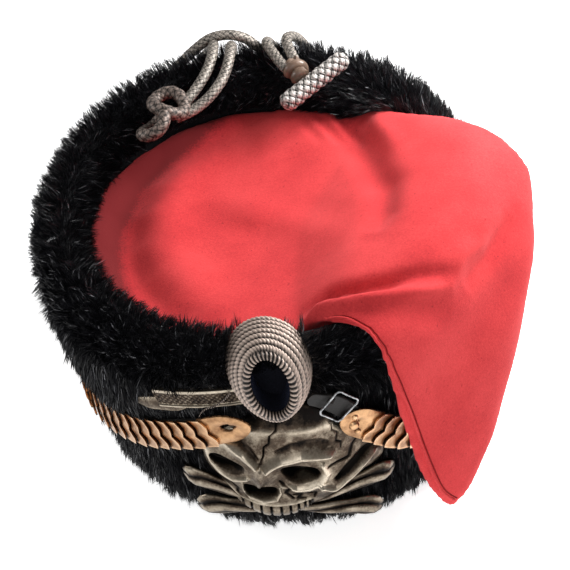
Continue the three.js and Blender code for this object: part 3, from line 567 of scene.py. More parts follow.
knot = finishPiece(joined("lineKnot", knotParts), knotCord, "cord", "line_knot")

slider = {"from": (19, 88, 159), "to": (26.5, 75, 158), "turns": 2.3, "coil": 2.7, "reach": 4.2,
          "core": 4.1}


def sliderPiece():
    start, end = np.array(slider["from"], float), np.array(slider["to"], float)
    axis = (end - start) / np.linalg.norm(end - start)
    side = np.cross(axis, (0, 0, 1.0))
    side /= np.linalg.norm(side)
    up = np.cross(side, axis)
    t = np.linspace(0.08, 0.92, 26)
    turn = t * slider["turns"] * 2 * math.pi + 1.1
    swell = slider["reach"] * (0.72 + 0.28 * np.sin(math.pi * t))
    coil = start + np.outer(t, end - start) + side * (swell * np.cos(turn))[:, None]
    coil = coil + up * (swell * np.sin(turn))[:, None]
    wrap = tubePiece("wrap", coil, slider["coil"], 24, 150)[0]
    through = np.array([start + (end - start) * s for s in (0.05, 0.3, 0.6, 0.95)])
    core = tubePiece("core", through, slider["core"], 24, 20)[0]
    return joined("lineSlider", [wrap, core])


toggle = {"from": (13, 62, 150), "to": (51, 85, 162), "radius": 4.7}


def togglePiece():
    start, end = np.array(toggle["from"], float), np.array(toggle["to"], float)
    rows = np.array([start + (end - start) * s for s in (0, 0.33, 0.66, 1)])

    def radius(v):
        edge = np.minimum(v, 1 - v) / 0.09
        return toggle["radius"] * np.sqrt(np.clip(1 - (1 - np.minimum(edge, 1)) ** 2, 0.02, 1))

    return tubePiece("lineToggle", rows, radius, 60, 150, relief=plait(5, 9, 0.8))[0]


sliderBody = finishPiece(sliderPiece(), knotLeather, "leather", "line_slider")
toggleBody = finishPiece(togglePiece(), toggleCord, "cord", "line_toggle")

for name, farEnd, withPieces in (
    ("first", "knot", [knot]),
    ("second", "fitting", [sliderBody, toggleBody]),
    ("third", "fitting", [sliderBody]),
):
    piece, centre, length = linePieces[name]
    path = toFrame(centre[::4] if len(centre) % 4 == 1 else np.vstack([centre[::4], centre[-1:]]))
    toFrame(centre[0])
    print("cap line", name, "is", round(length, 1), "mm long")


# bag: top cloth and hanging pouch, fused, softened, wrinkled and given its wall
topCloth = {"cx": -8, "cy": -2, "rx": 90, "ry": 92, "edge": 127, "backRise": 2, "rightRise": 12, "sink": 9}
# down the pouch: its two edges, its middle and its thickness
pouchRows = table("front back middle thick",
    ((4, -82, 120), (36, 64, 122), (14, -8, 119), 8),
    ((19, -97, 137), (56, 71, 134), (56, -8, 139), 10),
    ((34, -106, 140), (79, 52, 144), (81, -18, 148), 12),
    ((44, -114, 135), (103, 34, 151), (97, -34, 150), 13),
    ((50, -119, 113), (122, 18, 152), (107, -46, 139), 13),
    ((54, -121, 86), (136, -3, 145), (111, -57, 120), 13),
    ((60, -123, 57), (134, -28, 120), (111, -72, 97), 13),
    ((67, -123, 35), (121, -54, 83), (105, -87, 67), 12),
    ((74, -121, 19), (105, -84, 48), (96, -101, 38), 10),
    ((80, -119, 12), (91, -104, 25), (87, -111, 20), 6),
)
bagCloth = {"voxel": 2.2, "wall": 1.8, "foot": 111, "softening": 14, "ripple": 0.35}


def smoothStep(x, low, high):
    t = np.clip((x - low) / (high - low), 0, 1)
    return t * t * (3 - 2 * t)


def topClothHeight(angle, reach):
    right = np.cos(angle) * reach
    hollow = smoothStep(topCloth["rx"] * (0.75 - right), 0, 100)
    rise = topCloth["backRise"] * np.maximum(0, np.sin(angle))
    rise = rise + topCloth["rightRise"] * np.maximum(0, right) ** 1.5
    return topCloth["edge"] + rise - topCloth["sink"] * (1 - reach**2) * hollow


def topClothPlace(u, v):
    angle = u * 2 * math.pi
    reach = np.clip(v / 0.7, 0, 1)
    below = np.clip((v - 0.7) / 0.15, 0, 1)
    inward = np.clip((v - 0.85) / 0.15, 0, 1)
    share = np.where(inward > 0, 1 - inward, reach)
    z = topClothHeight(angle, reach) * (1 - below) + (bagCloth["foot"] - 8) * below
    x = topCloth["cx"] + topCloth["rx"] * share * np.cos(angle)
    y = topCloth["cy"] + topCloth["ry"] * share * np.sin(angle)
    return np.stack([x, y, z], 1)


def pouchPlace(u, v):
    lines = [column(pouchRows, key) for key in ("front", "back", "middle")]
    front, back, middle = (routePoint(line, v, tension=0.4) for line in lines)
    ahead = routePoint(lines[2], np.clip(v + 0.004, 0, 1), tension=0.4)
    behind = routePoint(lines[2], np.clip(v - 0.004, 0, 1), tension=0.4)
    travel = unit(ahead - behind)
    thick = np.interp(v * (len(pouchRows) - 1), range(len(pouchRows)), column(pouchRows, "thick"))
    centre = (front + back) / 2
    reach = front - centre
    bow = middle - centre
    out = unit(np.cross(travel, unit(reach)))
    turn = u * 2 * math.pi
    swing = np.sin(turn)
    across = np.cos(turn)
    push = -np.sign(swing) * thick / 2 * np.abs(swing) ** 0.7
    return centre + bow * (1 - across**2)[:, None] + reach * across[:, None] + out * push[:, None]


def segmentGap(points, a, b):
    span = b - a
    t = np.clip((points - a) @ span / (span @ span), 0, 1)
    return np.linalg.norm(points - a - t[:, None] * span, axis=1), t


def nearLine(points, line):
    line = np.asarray(line, float)
    best = np.full(len(points), 1e9)
    share = np.zeros(len(points))
    for i in range(len(line) - 1):
        gap, t = segmentGap(points, line[i], line[i + 1])
        closer = gap < best
        best[closer] = gap[closer]
        share[closer] = (i + t[closer]) / (len(line) - 1)
    return best, share


# folds of the bag: where each runs, its half width and how far it stands out or in
bagFolds = table("line wide out",
    ([(11, -91, 128), (16, -89, 135), (20, -88, 138), (32, -92, 143), (51, -93, 146), (70, -89, 144),
      (84, -82, 138)], 3.6, 4.2),
    ([(14, -82, 126), (24, -80, 138), (36, -83, 143), (54, -84, 146), (72, -80, 145), (84, -75, 141)],
     4.5, -6.5),
    ([(84, -82, 138), (88, -74, 142), (93, -67, 144), (102, -59, 143), (108, -48, 146),
      (117, -36, 147)], 5.0, 3.0),
    ([(92, -78, 132), (98, -72, 134), (107, -61, 135), (116, -49, 138), (124, -35, 140)], 6.0, -3.0),
    ([(52, 66, 134), (52, 44, 137), (55, 18, 141), (60, -9, 146), (57, -32, 148), (50, -46, 147)],
     9.0, -5.0),
    ([(62, 58, 139), (66, 40, 142), (72, 16, 147)], 6.0, 2.5),
    ([(30, 78, 131), (37, 61, 133), (44, 45, 134)], 3.0, -2.5),
    ([(43, 74, 132), (47, 58, 134), (52, 40, 137)], 2.6, -2.5),
    ([(20, 82, 130), (26, 66, 131), (33, 50, 131)], 3.0, -1.5),
    ([(-30, 74, 125), (-54, 62, 125), (-69, 44, 124), (-78, 19, 123), (-79, -8, 122), (-73, -36, 122),
      (-61, -57, 123), (-42, -76, 124)], 12.0, -9.0),
    ([(-38, 48, 124), (-48, 36, 123), (-54, 18, 122), (-54, -9, 121), (-47, -34, 121), (-33, -52, 122)],
     13.0, 2.0),
    ([(33, -102, 142), (53, -102, 143), (70, -96, 136), (86, -89, 126)], 7.0, -1.8),
    ([(-20, 20, 120), (5, 0, 120), (30, -25, 125)], 14.0, 2.0),
)


# painted shade: the felt is darkened along its left and back edge, where the fur crest shadows it, and along
# the folds that sink in
def edgeShade(points):
    a = (points[:, 0] - topCloth["cx"]) / topCloth["rx"]
    b = (points[:, 1] - topCloth["cy"]) / topCloth["ry"]
    reach = np.hypot(a, b)
    leftward = smoothStep(0.35 * b - a, 0.2, 0.8)
    paintedShade = 0.6 * smoothStep(reach, 0.66, 0.95) * leftward
    for fold in bagFolds:
        if fold["out"] < -1.6:
            gap, _ = nearLine(points, fold["line"])
            paintedShade = np.maximum(paintedShade, 0.022 * -fold["out"] * np.exp(-(gap / fold["wide"] / 1.1) ** 2))
    return paintedShade


def bagPiece():
    top = gridPiece("topCloth", 120, 60, topClothPlace, close=True)
    pouch = gridPiece("pouch", 72, 90, pouchPlace, close=True)
    cloth = joined("bagFelt", [top, pouch])
    applyModifier(cloth, "REMESH", mode="VOXEL", voxel_size=bagCloth["voxel"] * mm)
    applyModifier(cloth, "SMOOTH", factor=0.5, iterations=bagCloth["softening"])
    points, out = toCap(coordsOf(cloth)), normalsOf(cloth)
    push = np.zeros(len(points))
    for fold in bagFolds:
        gap, share = nearLine(points, fold["line"])
        ends = np.sin(math.pi * np.clip(share, 0.02, 0.98)) ** 0.5
        push += fold["out"] * np.exp(-(gap / fold["wide"]) ** 2) * ends
    x, y, z = points.T
    push += bagCloth["ripple"] * np.sin(x / 7 + 2 * np.sin(y / 19)) * np.sin(y / 9 + z / 13)
    setCoords(cloth, toFrame(points + out * push[:, None]))
    bpy.ops.object.mode_set(mode="EDIT")
    bpy.ops.mesh.select_all(action="DESELECT")
    bpy.ops.object.mode_set(mode="OBJECT")
    centres = np.array([toCap(face.center) for face in cloth.data.polygons])
    across = (centres[:, 0] - topCloth["cx"]) / (topCloth["rx"] + 2)
    along = (centres[:, 1] - topCloth["cy"]) / (topCloth["ry"] + 2)
    inside = across**2 + along**2 < 1
    cloth.data.polygons.foreach_set("select", inside & (centres[:, 2] < bagCloth["foot"]))
    only(cloth)
    bpy.ops.object.mode_set(mode="EDIT")
    bpy.ops.mesh.select_mode(type="FACE")
    bpy.ops.mesh.delete(type="FACE")
    bpy.ops.object.mode_set(mode="OBJECT")
    applyModifier(cloth, "SOLIDIFY", thickness=bagCloth["wall"] * mm, offset=-1)
    # the painted shade is stored on the felt as its shade attribute
    setAttribute(cloth, "shade", edgeShade(toCap(coordsOf(cloth))))
    return finishPiece(cloth, felt, "cloth", "bag", angle=80)


bag = bagPiece()


def solidTree(pieces):
    points, faces = [], []
    for piece in pieces:
        start = len(points)
        points += [Vector(v) for v in toCap(coordsOf(piece))]
        faces += [[start + i for i in face.vertices] for face in piece.data.polygons]
    return BVHTree.FromPolygons(points, faces)


seamRows = [
    (21, -97, 139), (30, -100, 142), (41, -109, 141), (47, -115, 132), (51, -118, 121),
    (55, -119.5, 106), (59, -120, 91), (66, -122, 58), (74, -122, 30), (80, -119, 20),
]
bagSeamAndShadow = {"piping": 0.75, "above": 0.2, "shadowLine": 0.4, "beside": (1.7, 0.4, 0.5)}


def addSeam():
    flesh = solidTree([bag])
    laid, shadowLine = [], []
    for spot in route(seamRows, samples=60)[0]:
        place, out, _, _ = flesh.find_nearest(Vector(spot))
        laid.append(tuple(place + out * bagSeamAndShadow["above"]))
        shadowLine.append(tuple(flesh.find_nearest(place + Vector(bagSeamAndShadow["beside"]))[0]))
    finishPiece(tubePiece("bagPiping", laid, bagSeamAndShadow["piping"], 12, 260)[0], felt, "cloth")
    # a thin dark red tube beside the piping: painted shadow of the groove along the seam
    finishPiece(tubePiece("bagSeamAndShadow", shadowLine, bagSeamAndShadow["shadowLine"], 8, 260)[0], seamShade, "cloth")


addSeam()
print("bag made")


# fur: a thick hide, later covered in hair
# rings of the hide: height or drop from the crest, middle x and y, half sizes
furRows = table("z drop cx cy rx ry",
    (0, 0, 7, -1, 97, 98), (8, 0, 7, -1, 104.5, 104.5), (20, 0, 6, 0, 108.5, 108.5),
    (42, 0, 2.5, 0, 110.5, 109), (68, 0, -1, 0, 112.5, 110.5), (86, 0, -4, 1, 114.5, 111.5),
    (118, 0, -6, 2, 115.5, 113.5), (131, 0, -6, 2, 114.5, 113.5), (0, 8, -6, 2, 110, 110),
    (0, 5.5, -6, 2, 105, 106), (0, 9, -7, 0, 97.5, 99.5), (0, 18, -8, -2, 92, 94),
    (110.4, 0, -8, -2, 90.4, 92.4), (110, 0, -3, -1, 84, 90), (60, 0, 1, 0, 84, 92),
    (0, 0, 6, 0, 83, 93),
)
crest = {"front": 143, "backRise": 17, "rightDrop": 4}
swell = {"angle": 0.75, "spread": 0.45, "out": 7, "above": 100}


def crestHeight(angle):
    rise = crest["backRise"] * np.maximum(0, np.sin(angle)) ** 0.8
    return crest["front"] + rise - crest["rightDrop"] * np.maximum(0, np.cos(angle))


def furPlace(angle, row):
    count = len(furRows)
    first = np.floor(row).astype(int) % count
    share = row - np.floor(row)
    height, drop, cx, cy, rx, ry = (column(furRows, key) for key in furRows[0])
    top = crestHeight(angle)
    out = swell["out"] * np.exp(-((angle - swell["angle"]) / swell["spread"]) ** 2)
    spots = []
    for k in (first, (first + 1) % count):
        z = np.where(drop[k] > 0, top - drop[k], height[k])
        grow = np.where((z > swell["above"]) & (k < 10), out, 0)
        x = cx[k] + (rx[k] + grow) * np.cos(angle)
        y = cy[k] + (ry[k] + grow) * np.sin(angle)
        spots.append(np.stack([x, y, z], 1))
    return spots[0] + (spots[1] - spots[0]) * share[:, None]


def hidePlace(u, v):
    return furPlace(u * 2 * math.pi, v * len(furRows))


hideBody = gridPiece("hideBody", 180, len(furRows) * 3, hidePlace, close=True)


# field badge: its axis looks forward and up, its long axis leans
cockade = {
    "place": (-8, -103, 120.6), "wide": 20, "tall": 24.5, "deep": 27, "rows": 7, "lean": 10, "lookUp": 18,
    "socketWide": 9.2, "socketTall": 15, "socketDeep": 18, "twists": 58, "loops": 40,
}
leanAngle, lookAngle = math.radians(cockade["lean"]), math.radians(cockade["lookUp"])
wideAxis = np.array([math.cos(leanAngle), 0, math.sin(leanAngle)])
outAxis = np.array([0, -math.cos(lookAngle), math.sin(lookAngle)])
tallAxis = np.cross(outAxis, wideAxis)
tallAxis /= np.linalg.norm(tallAxis)


def cockadePoint(u, wide, tall, out):
    turn = u * 2 * math.pi
    across = np.outer(wide * np.cos(turn), wideAxis) + np.outer(tall * np.sin(turn), tallAxis)
    return np.array(cockade["place"]) + across + np.outer(out, outAxis)


bodyShare, rimShare = 0.72, 0.92  # of the profile: up to these the cord rows and the rim


def cockadeProfile(u, v):
    t = np.clip(v / bodyShare, 0, 1)
    part = (t * cockade["rows"]) % 1
    bump = np.sqrt(np.clip(1 - (2 * part - 1) ** 2, 0, 1))
    twist = np.abs(np.sin(math.pi * (u * cockade["twists"] + part * 1.1)))
    rim = np.clip((v - bodyShare) / (rimShare - bodyShare), 0, 1)
    loop = np.abs(np.sin(math.pi * cockade["loops"] * u + 0.8 * rim))
    return t, bump, twist, rim, loop


def cockadePlace(u, v):
    t, bump, twist, rim, loop = cockadeProfile(u, v)
    grow = -0.9 + 1.9 * bump + 0.5 * (twist - 0.6) * bump
    bodyWide = cockade["wide"] - 8.0 * t**2.6 + grow
    bodyTall = cockade["tall"] - 5.2 * t**2.6 + grow
    turn = rim * math.pi * 0.9
    radius = 1.9 + 0.6 * (loop - 0.6)
    rimWide = cockade["socketWide"] + 1.6 + radius * np.cos(turn)
    rimTall = cockade["socketTall"] + 1.6 + radius * np.cos(turn)
    rimOut = cockade["deep"] - 0.6 + radius * np.sin(turn)
    inside = np.clip((v - rimShare) / (1 - rimShare), 0, 1)
    part = [inside > 0, v > bodyShare]
    wide = np.select(part, [cockade["socketWide"], rimWide], bodyWide)
    tall = np.select(part, [cockade["socketTall"], rimTall], bodyTall)
    socketOut = cockade["deep"] - 1 - inside * cockade["socketDeep"]
    return cockadePoint(u, wide, tall, np.select(part, [socketOut, rimOut], cockade["deep"] * t * 0.97))


# painted highlights on the crests of the cord rows and rim loops, painted shade in the gaps between them
def cockadeLightAndShade(u, v):
    _, bump, twist, _, loop = cockadeProfile(u, v)
    rows = -0.70 + 1.35 * bump + 0.5 * (twist - 0.4)
    loops = -0.35 + 1.1 * loop**1.5 + 0.15 * np.sin(23 * u)
    return np.where(v > bodyShare, loops, rows)


rose = gridPiece("rose", 420, 104, cockadePlace, close=True, wear=cockadeLightAndShade)
finishPiece(rose, roseCord, "cord", "cockade_body")


def liningPlace(u, v):
    inset = 0.4 + np.where(v > 0.55, (v - 0.55) / 0.45, 0) ** 2
    closing = np.where(v > 0.8, np.clip((1 - v) / 0.2, 0, 1), 1)
    wide = (cockade["socketWide"] - inset) * closing
    tall = (cockade["socketTall"] - inset) * closing
    out = cockade["deep"] - 1.5 - np.minimum(v / 0.8, 1) * (cockade["socketDeep"] - 1)
    return cockadePoint(u, wide, tall, out)


lining = gridPiece("roseLining", 90, 50, liningPlace)
finishPiece(lining, velvet, "velvet", "cockade_lining")
print("field badge made")

cutterWide, cutterTall = 21.5, 27


def cutterPlace(u, v):
    keep = np.where((v > 0.2) & (v < 0.8), 1, 0)
    out = np.where(v < 0.5, -0.5, 40)
    return cockadePoint(u, cutterWide * keep, cutterTall * keep, out)


cutter = gridPiece("cutter", 60, 5, cutterPlace, close=True)
applyModifier(hideBody, "BOOLEAN", object=cutter, operation="DIFFERENCE", solver="EXACT")
bpy.data.objects.remove(cutter)
finishPiece(hideBody, hide, "fur", "fur_cap")
print("hide made")

# badges lie on a bent seat at the front
badgeSeat, badgeBend = 112, 240


def seatPoint(x, z, h):
    x, z, h = np.broadcast_arrays(np.asarray(x, float), np.asarray(z, float), np.asarray(h, float))
    return np.stack([x, -(badgeSeat + h) + (x - 2) ** 2 / badgeBend, z], -1)


skullEdge = [
    (-47, 62), (-45, 69), (-39, 78), (-22, 91), (-9, 99), (5, 100), (13, 96), (24, 80),
    (34, 69), (40, 62), (46, 52), (44, 46), (36, 42), (28, 34), (20, 28), (8, 24),
    (-4, 19), (-19, 18.5), (-28, 24), (-36, 34), (-40, 44), (-45, 52),
]
skullMiddle = np.array([-9, 56])
skullDome = {"edge": 2.2, "high": 9, "round": 3.8, "least": 1.6}
# broad forms: place, half sizes, turn and height
skullForms = table("x z wide tall turn high",
    (-18, 60, 6, 9, 0, 2.5), (20, 46, 9, 6, 50, 2.5), (-14, 29, 22, 8, -3, 3),
    (-33, 83, 16, 9, 37, -7), (34, 63, 10, 5, -45, -2.5),
)
# ridges and grooves: route, half width, height and how bright they are worn
skullLines = table("line wide high wear",
    ([(-46, 71.5), (-35, 74.8), (-27, 72.3), (-21, 66.5)], 3.2, 4.2, 0.4),
    ([(-15.5, 64.8), (-7, 69.8), (3, 71.8), (12, 69.6), (18, 68)], 3.3, 4.4, 0.4),
    ([(-42, 80), (-30, 82.5), (-18, 86), (-6, 88.5), (6, 87), (18, 84.5), (30, 77)], 3.0, 1.4, 0.45),
    ([(-5.3, 96.6), (-7.6, 92), (-8.2, 89), (-11.7, 85), (-12.4, 80), (-15.2, 77.5), (-15.8, 72),
      (-18.4, 66.5)], 0.45, -1.1, -0.45),
    ([(19.9, 83.1), (19.6, 79.8), (22.2, 77), (21.2, 73), (23.8, 71), (23.3, 68.2)], 0.45, -1.1, -0.45),
    ([(33, 69), (29.5, 65.5), (27, 61), (21, 60.5), (16.5, 59.1)], 0.7, -1.2, -0.6),
    ([(40, 59.5), (32, 56.5), (25, 52.5), (20.5, 50)], 2.4, -4.5, -0.7),
    ([(12, 47), (19, 43.2), (26, 46), (34, 52), (41, 55)], 2.2, 3.2, 0.4),
    ([(13.5, 61.5), (15.5, 55), (12.2, 48.8), (6, 46.2), (-1, 46.6), (-8, 50.5)], 2.5, 2.4, 0.5),
    ([(-45, 65), (-45, 58), (-40, 53.4), (-33, 51.4), (-26, 54.5)], 2.3, 2.4, 0.5),
    ([(-9, 74.5), (-2, 78), (6, 78.8), (13, 77), (17, 74)], 1.7, -1.1, -0.3),
    ([(-38, 79), (-30, 78.4), (-23, 75), (-19.6, 70)], 1.5, -1.1, -0.3),
    ([(-18.5, 63), (-19.5, 56), (-20, 51)], 3.2, 2.4, 0.0),
    ([(-28.5, 51), (-28, 44), (-25, 39), (-19, 37.6), (-11.5, 39), (-9.3, 44), (-9.6, 49)],
     1.1, 1.8, 0.35),
    ([(-9, 53), (-4.5, 48), (-6.5, 43), (-3, 38.5)], 0.9, -1.5, -0.6),
    ([(-3, 41.5), (1, 41), (-0.5, 38), (3, 37.5)], 0.9, -1.2, -0.6),
    ([(5, 41.5), (8.5, 40.5), (8, 37.5)], 0.8, -1.2, -0.5),
    ([(-34, 46), (-31, 43), (-31.5, 39.5)], 0.9, -1.2, -0.5),
    ([(-40, 44), (-35, 41.5), (-31, 37.4), (-22, 36), (-10, 35.6), (0, 35.6), (8, 37)], 0.9, 1.3, 0.35),
    ([(-43, 74), (-45.5, 69), (-46, 64)], 1.2, 1.2, 0.3),
)
# sunken shapes: outline, depth, width of the sloping wall and where the painted highlight on the lit floor
# starts
skullHollows = table("shape deep wall lit",
    ([(-43.9, 62.5), (-40, 65.8), (-34.5, 66), (-27, 62.6), (-26.6, 58.6), (-32.8, 55.4),
      (-39.3, 56.8), (-43.3, 59.6)], 7.5, 3.0, 2.4),
    ([(-7.9, 61.8), (-2, 63.6), (3.5, 62.8), (10.2, 59.4), (12, 54.8), (8.3, 51.2), (1.6, 50.0),
      (-5.6, 54.4)], 8.5, 3.0, 3.4),
    ([(-27.6, 48.6), (-20, 48.8), (-11.3, 47.6), (-11.2, 42), (-15, 39.6), (-21, 39.2), (-26.2, 41.6)],
     6.5, 2.2, 2.2),
)
teeth = {"middle": -15, "spread": 21.4, "count": 13, "high": 1.5, "gap": 0.5, "deep": 1.6}
teethTop = [(-35.8, 39.4), (-31.1, 35.6), (-22.7, 34.7), (-9.9, 34.3), (-0.5, 34.1), (5.6, 35.7)]
teethFoot = [(-34.9, 30.5), (-29.3, 26.1), (-22, 22.2), (-12.6, 21.1), (-2.1, 22.5), (4.3, 26.9)]


def insideShape(spots, outline):
    edge, _ = route([(x, 0, z) for x, z in outline], closed=True, samples=90)
    edge = edge[:, [0, 2]]
    best = np.full(len(spots), 1e9)
    wraps = np.zeros(len(spots))
    for a, b in zip(edge[:-1], edge[1:]):
        best = np.minimum(best, segmentGap(spots, a, b)[0])
        pa, pb = spots - a, spots - b
        wraps += np.arctan2(pa[:, 0] * pb[:, 1] - pa[:, 1] * pb[:, 0], (pa * pb).sum(1))
    return np.where(np.abs(wraps) > math.pi, best, -best)


def skullRelief(spots, rim):
    inner = 1 - rim**8
    height = skullDome["edge"] + skullDome["high"] * (1 - rim ** skullDome["round"])
    # darker above z 90: painted shade standing in for the upper dome's dark reflection; lighter below it
    wear = 0.03 + 0.34 * smoothStep(90 - spots[:, 1], 0, 8)
    for form in skullForms:
        turn = math.radians(form["turn"])
        dx, dz = spots[:, 0] - form["x"], spots[:, 1] - form["z"]
        a = (dx * math.cos(turn) + dz * math.sin(turn)) / form["wide"]
        b = (dz * math.cos(turn) - dx * math.sin(turn)) / form["tall"]
        height += form["high"] * np.exp(-((a * a + b * b) ** 1.5)) * inner
    for ridge in skullLines:
        gap, share = nearLine(spots, ridge["line"])
        mask = np.exp(-((gap / (ridge["wide"] * (0.55 + 0.45 * np.sin(math.pi * share)))) ** 2))
        height += ridge["high"] * mask * inner
        wear += ridge["wear"] * mask
    for hollow in skullHollows:
        depth = smoothStep(insideShape(spots, hollow["shape"]), -0.4, hollow["wall"])
        below = np.mean(hollow["shape"], axis=0)[1] - spots[:, 1]
        height -= hollow["deep"] * depth
        # hollows darken deep inside, patina together with painted shade; below the lit line their floor gets
        # a painted highlight
        wear += depth * (-1.1 + 1.5 * smoothStep(below, hollow["lit"], hollow["lit"] + 3))
    top = np.interp(spots[:, 0], *np.array(teethTop).T)
    foot = np.interp(spots[:, 0], *np.array(teethFoot).T)
    band = smoothStep(spots[:, 1], foot - 1.5, foot + 0.8) * smoothStep(top - spots[:, 1], -0.6, 0.8)
    band *= smoothStep(spots[:, 0], -37, -35) * smoothStep(8 - spots[:, 0], 0, 2)
    swing = np.clip((spots[:, 0] - teeth["middle"]) / teeth["spread"], -0.999, 0.999)
    step = np.arcsin(swing) / math.pi * teeth["count"]
    near = np.abs(step - np.rint(step)) * math.pi / teeth["count"] * teeth["spread"]
    slot = np.exp(-((near * np.sqrt(1 - swing**2) / teeth["gap"]) ** 2))
    bulge = 1 - np.abs(2 * (spots[:, 1] - foot) / np.maximum(top - foot, 1) - 1) ** 3
    height += band * (teeth["high"] * np.clip(bulge, 0, 1) - teeth["deep"] * slot)
    wear += band * (0.1 - 0.85 * slot)
    return np.maximum(skullDome["least"], height), wear


def discPlace(u, v):
    a, b = 2 * u - 1, 2 * v - 1
    rim = np.maximum(np.abs(a), np.abs(b))
    safe = np.maximum(rim, 1e-9)
    flat = np.abs(a) >= np.abs(b)
    turn = np.where(flat, np.where(a > 0, 0, math.pi) + math.pi / 4 * b / np.where(a == 0, safe, a),
                    np.where(b > 0, 0.5, 1.5) * math.pi - math.pi / 4 * a / np.where(b == 0, safe, b))
    return rim, turn


def skullSpots(u, v):
    rim, turn = discPlace(u, v)
    dense, run = route([(x, 0, z) for x, z in skullEdge], closed=True)
    along = (turn / (2 * math.pi)) % 1 * run[-1]
    edge = pointsAt(along, run, dense, (0, 2))
    return skullMiddle + (edge - skullMiddle) * rim[:, None], rim


def skullPlace(u, v):
    spots, rim = skullSpots(u, v)
    height, _ = skullRelief(spots, rim)
    height = np.where(rim > 0.995, 0.4, height)
    return seatPoint(spots[:, 0], spots[:, 1], height)


# wear of the silver together with painted shade and highlights in the hollows and on the dome
def skullWearAndLight(u, v):
    return skullRelief(*skullSpots(u, v))[1]


skullPart = gridPiece("skull", 190, 190, skullPlace, merge=False, wear=skullWearAndLight)

bones = table("start end", ((-57, 44), (42, 12)), ((49, 38), (-52, 21)))
# from an end to the middle: share of the length, half width and half depth
boneShape = table("along wide deep",
    (0, 2.0, 1.6), (0.012, 5.6, 3.4), (0.04, 7.4, 4.2), (0.09, 6.8, 4.0), (0.15, 5.2, 3.6),
    (0.3, 4.4, 3.2), (0.5, 4.0, 3.0),
)
boneLift = 4.2


def bonePiece(name, bone):
    start, end = np.array(bone["start"], float), np.array(bone["end"], float)

    def grooves(u, v):
        return np.abs(np.sin(math.pi * (4 * u + 0.6 * np.sin(9 * v)))) ** 0.7

    def place(u, v):
        near = np.minimum(v, 1 - v)
        along = column(boneShape, "along")
        wide, deep = (np.interp(near, along, column(boneShape, key)) for key in ("wide", "deep"))
        turn = u * 2 * math.pi
        relief = 0.66 + 0.34 * grooves(u, v)
        knob = 0.022 * np.cos(turn) ** 2 * np.exp(-near / 0.05) * np.sign(v - 0.5)
        spot = start + (end - start) * (v + knob)[:, None]
        wide = wide * (1 - 0.28 * np.exp(-near / 0.03) * (1 - np.cos(turn) ** 2))
        high = spot[:, 1] + wide * np.cos(turn) * relief
        return seatPoint(spot[:, 0], high, boneLift + deep * np.sin(turn) * relief)

    return gridPiece(name, 48, 150, place, close=True, wear=lambda u, v: -0.28 + 0.85 * grooves(u, v))


boneParts = [bonePiece("bone" + str(i), bone) for i, bone in enumerate(bones)]
skullBadge = joined("skullBadge", [skullPart, *boneParts])
finishPiece(skullBadge, silver, "silver", "skull_badge", angle=75)
print("skull badge made")

# scroll ribbon, blank but for its borders and a worn ground, with its folded tail
scroll = {"left": -69, "right": -14, "foot": 95, "rise": 0.29, "tall": 12, "notch": 4}
# across the ribbon: height on the seat and distance from it
ribbonSection = [
    (-6, 1.6), (-6, 3.5), (-5.8, 3.8), (-4.9, 3.8), (-4.6, 2.9), (3.6, 2.9), (3.9, 3.8), (5.8, 3.9),
    (6, 3.5), (6, 1.6),
]


def ribbonPlace(u, v):
    section = np.array(ribbonSection)
    run = runAlong(section)
    high, h = pointsAt(v * run[-1], run, section, (0, 1)).T
    ground = (high > -4.4) & (high < 3.4)
    pits = np.sin(high * 2.1 + 3 * np.sin(u * 61)) * np.sin(u * 118 + np.sin(high * 1.7) * 2)
    across = (high + 6) / 12
    x = scroll["left"] + (scroll["right"] - scroll["left"]) * u + (1 - across) * scroll["notch"] * (1 - u)
    middle = scroll["foot"] + (x - scroll["left"]) * scroll["rise"]
    return seatPoint(x, middle + high, h + np.where(ground, 0.35 * pits, 0))


def ribbonWear(u, v):
    pits = np.sin(u * 118) * np.sin(v * 40)
    return np.where((v > 0.25) & (v < 0.72), 0.24 + 0.2 * pits, 0.72)


tailUpper = [(-76, 90), (-70, 93), (-64, 94.8), (-58, 96), (-52, 96)]
tailLower = [(-77.5, 85), (-71, 84), (-65, 85), (-58, 87.5), (-52, 91.5)]


def bandPlace(upper, lower, inner, outer, edge=0.08):
    def place(u, v):
        low = routePoint([(x, 0, z) for x, z in lower], u)
        high = routePoint([(x, 0, z) for x, z in upper], u)
        share = np.clip((v - edge) / (1 - 2 * edge), 0, 1)
        spot = low + (high - low) * share[:, None]
        face = np.clip(np.minimum(v, 1 - v) / edge, 0, 1)
        rise = outer(u, share) if callable(outer) else outer
        return seatPoint(spot[:, 0], spot[:, 2], inner + (rise - inner) * face)
    return place


ribbonPart = gridPiece("ribbon", 170, 60, ribbonPlace, merge=False, wear=ribbonWear)


def tailCurl(u, share):
    return 1.7 + 0.9 * np.sin(math.pi * share) * (1 - u) + 0.3 * np.sin(9 * u)


def tailWear(u, v):
    return 0.2 + 0.5 * np.abs(2 * v - 1) ** 2 + 0.2 * (1 - u)


tailBand = bandPlace(tailUpper, tailLower, 0.3, tailCurl)
tailPart = gridPiece("tail", 60, 30, tailBand, merge=False, wear=tailWear)
finishPiece(joined("scrollBadge", [ribbonPart, tailPart]), silver, "silver", "scroll_badge")

# chin scales: two strap lines from the side bosses to the front ends
strapRows = {
    "left": [
        (-104, 30, 34), (-110, 8, 35), (-111, -14, 37), (-107.5, -32, 41), (-101, -50, 46), (-91, -67, 52),
        (-78, -82, 59), (-63, -95, 68.5), (-47, -106, 78.5), (-34, -112.5, 87), (-20, -117.5, 94),
    ],
    "right": [
        (106, 30, 34), (112, 8, 34), (112, -14, 34), (108, -36, 36), (99, -58, 39), (86, -77, 43),
        (71, -92, 49), (56, -102.5, 59), (46, -107.5, 69), (37, -111.5, 78.5), (25, -115, 90),
    ],
}
strap = {"width": 17, "thick": 1.6, "scaleWidth": 19, "metal": 0.8, "pitch": 8.3, "lift": 1.5, "first": 24.5}
strap["floor"] = strap["thick"] / 2 + 0.3  # the scales lie just over the leather
plateLength = {"left": 25, "right": 21}


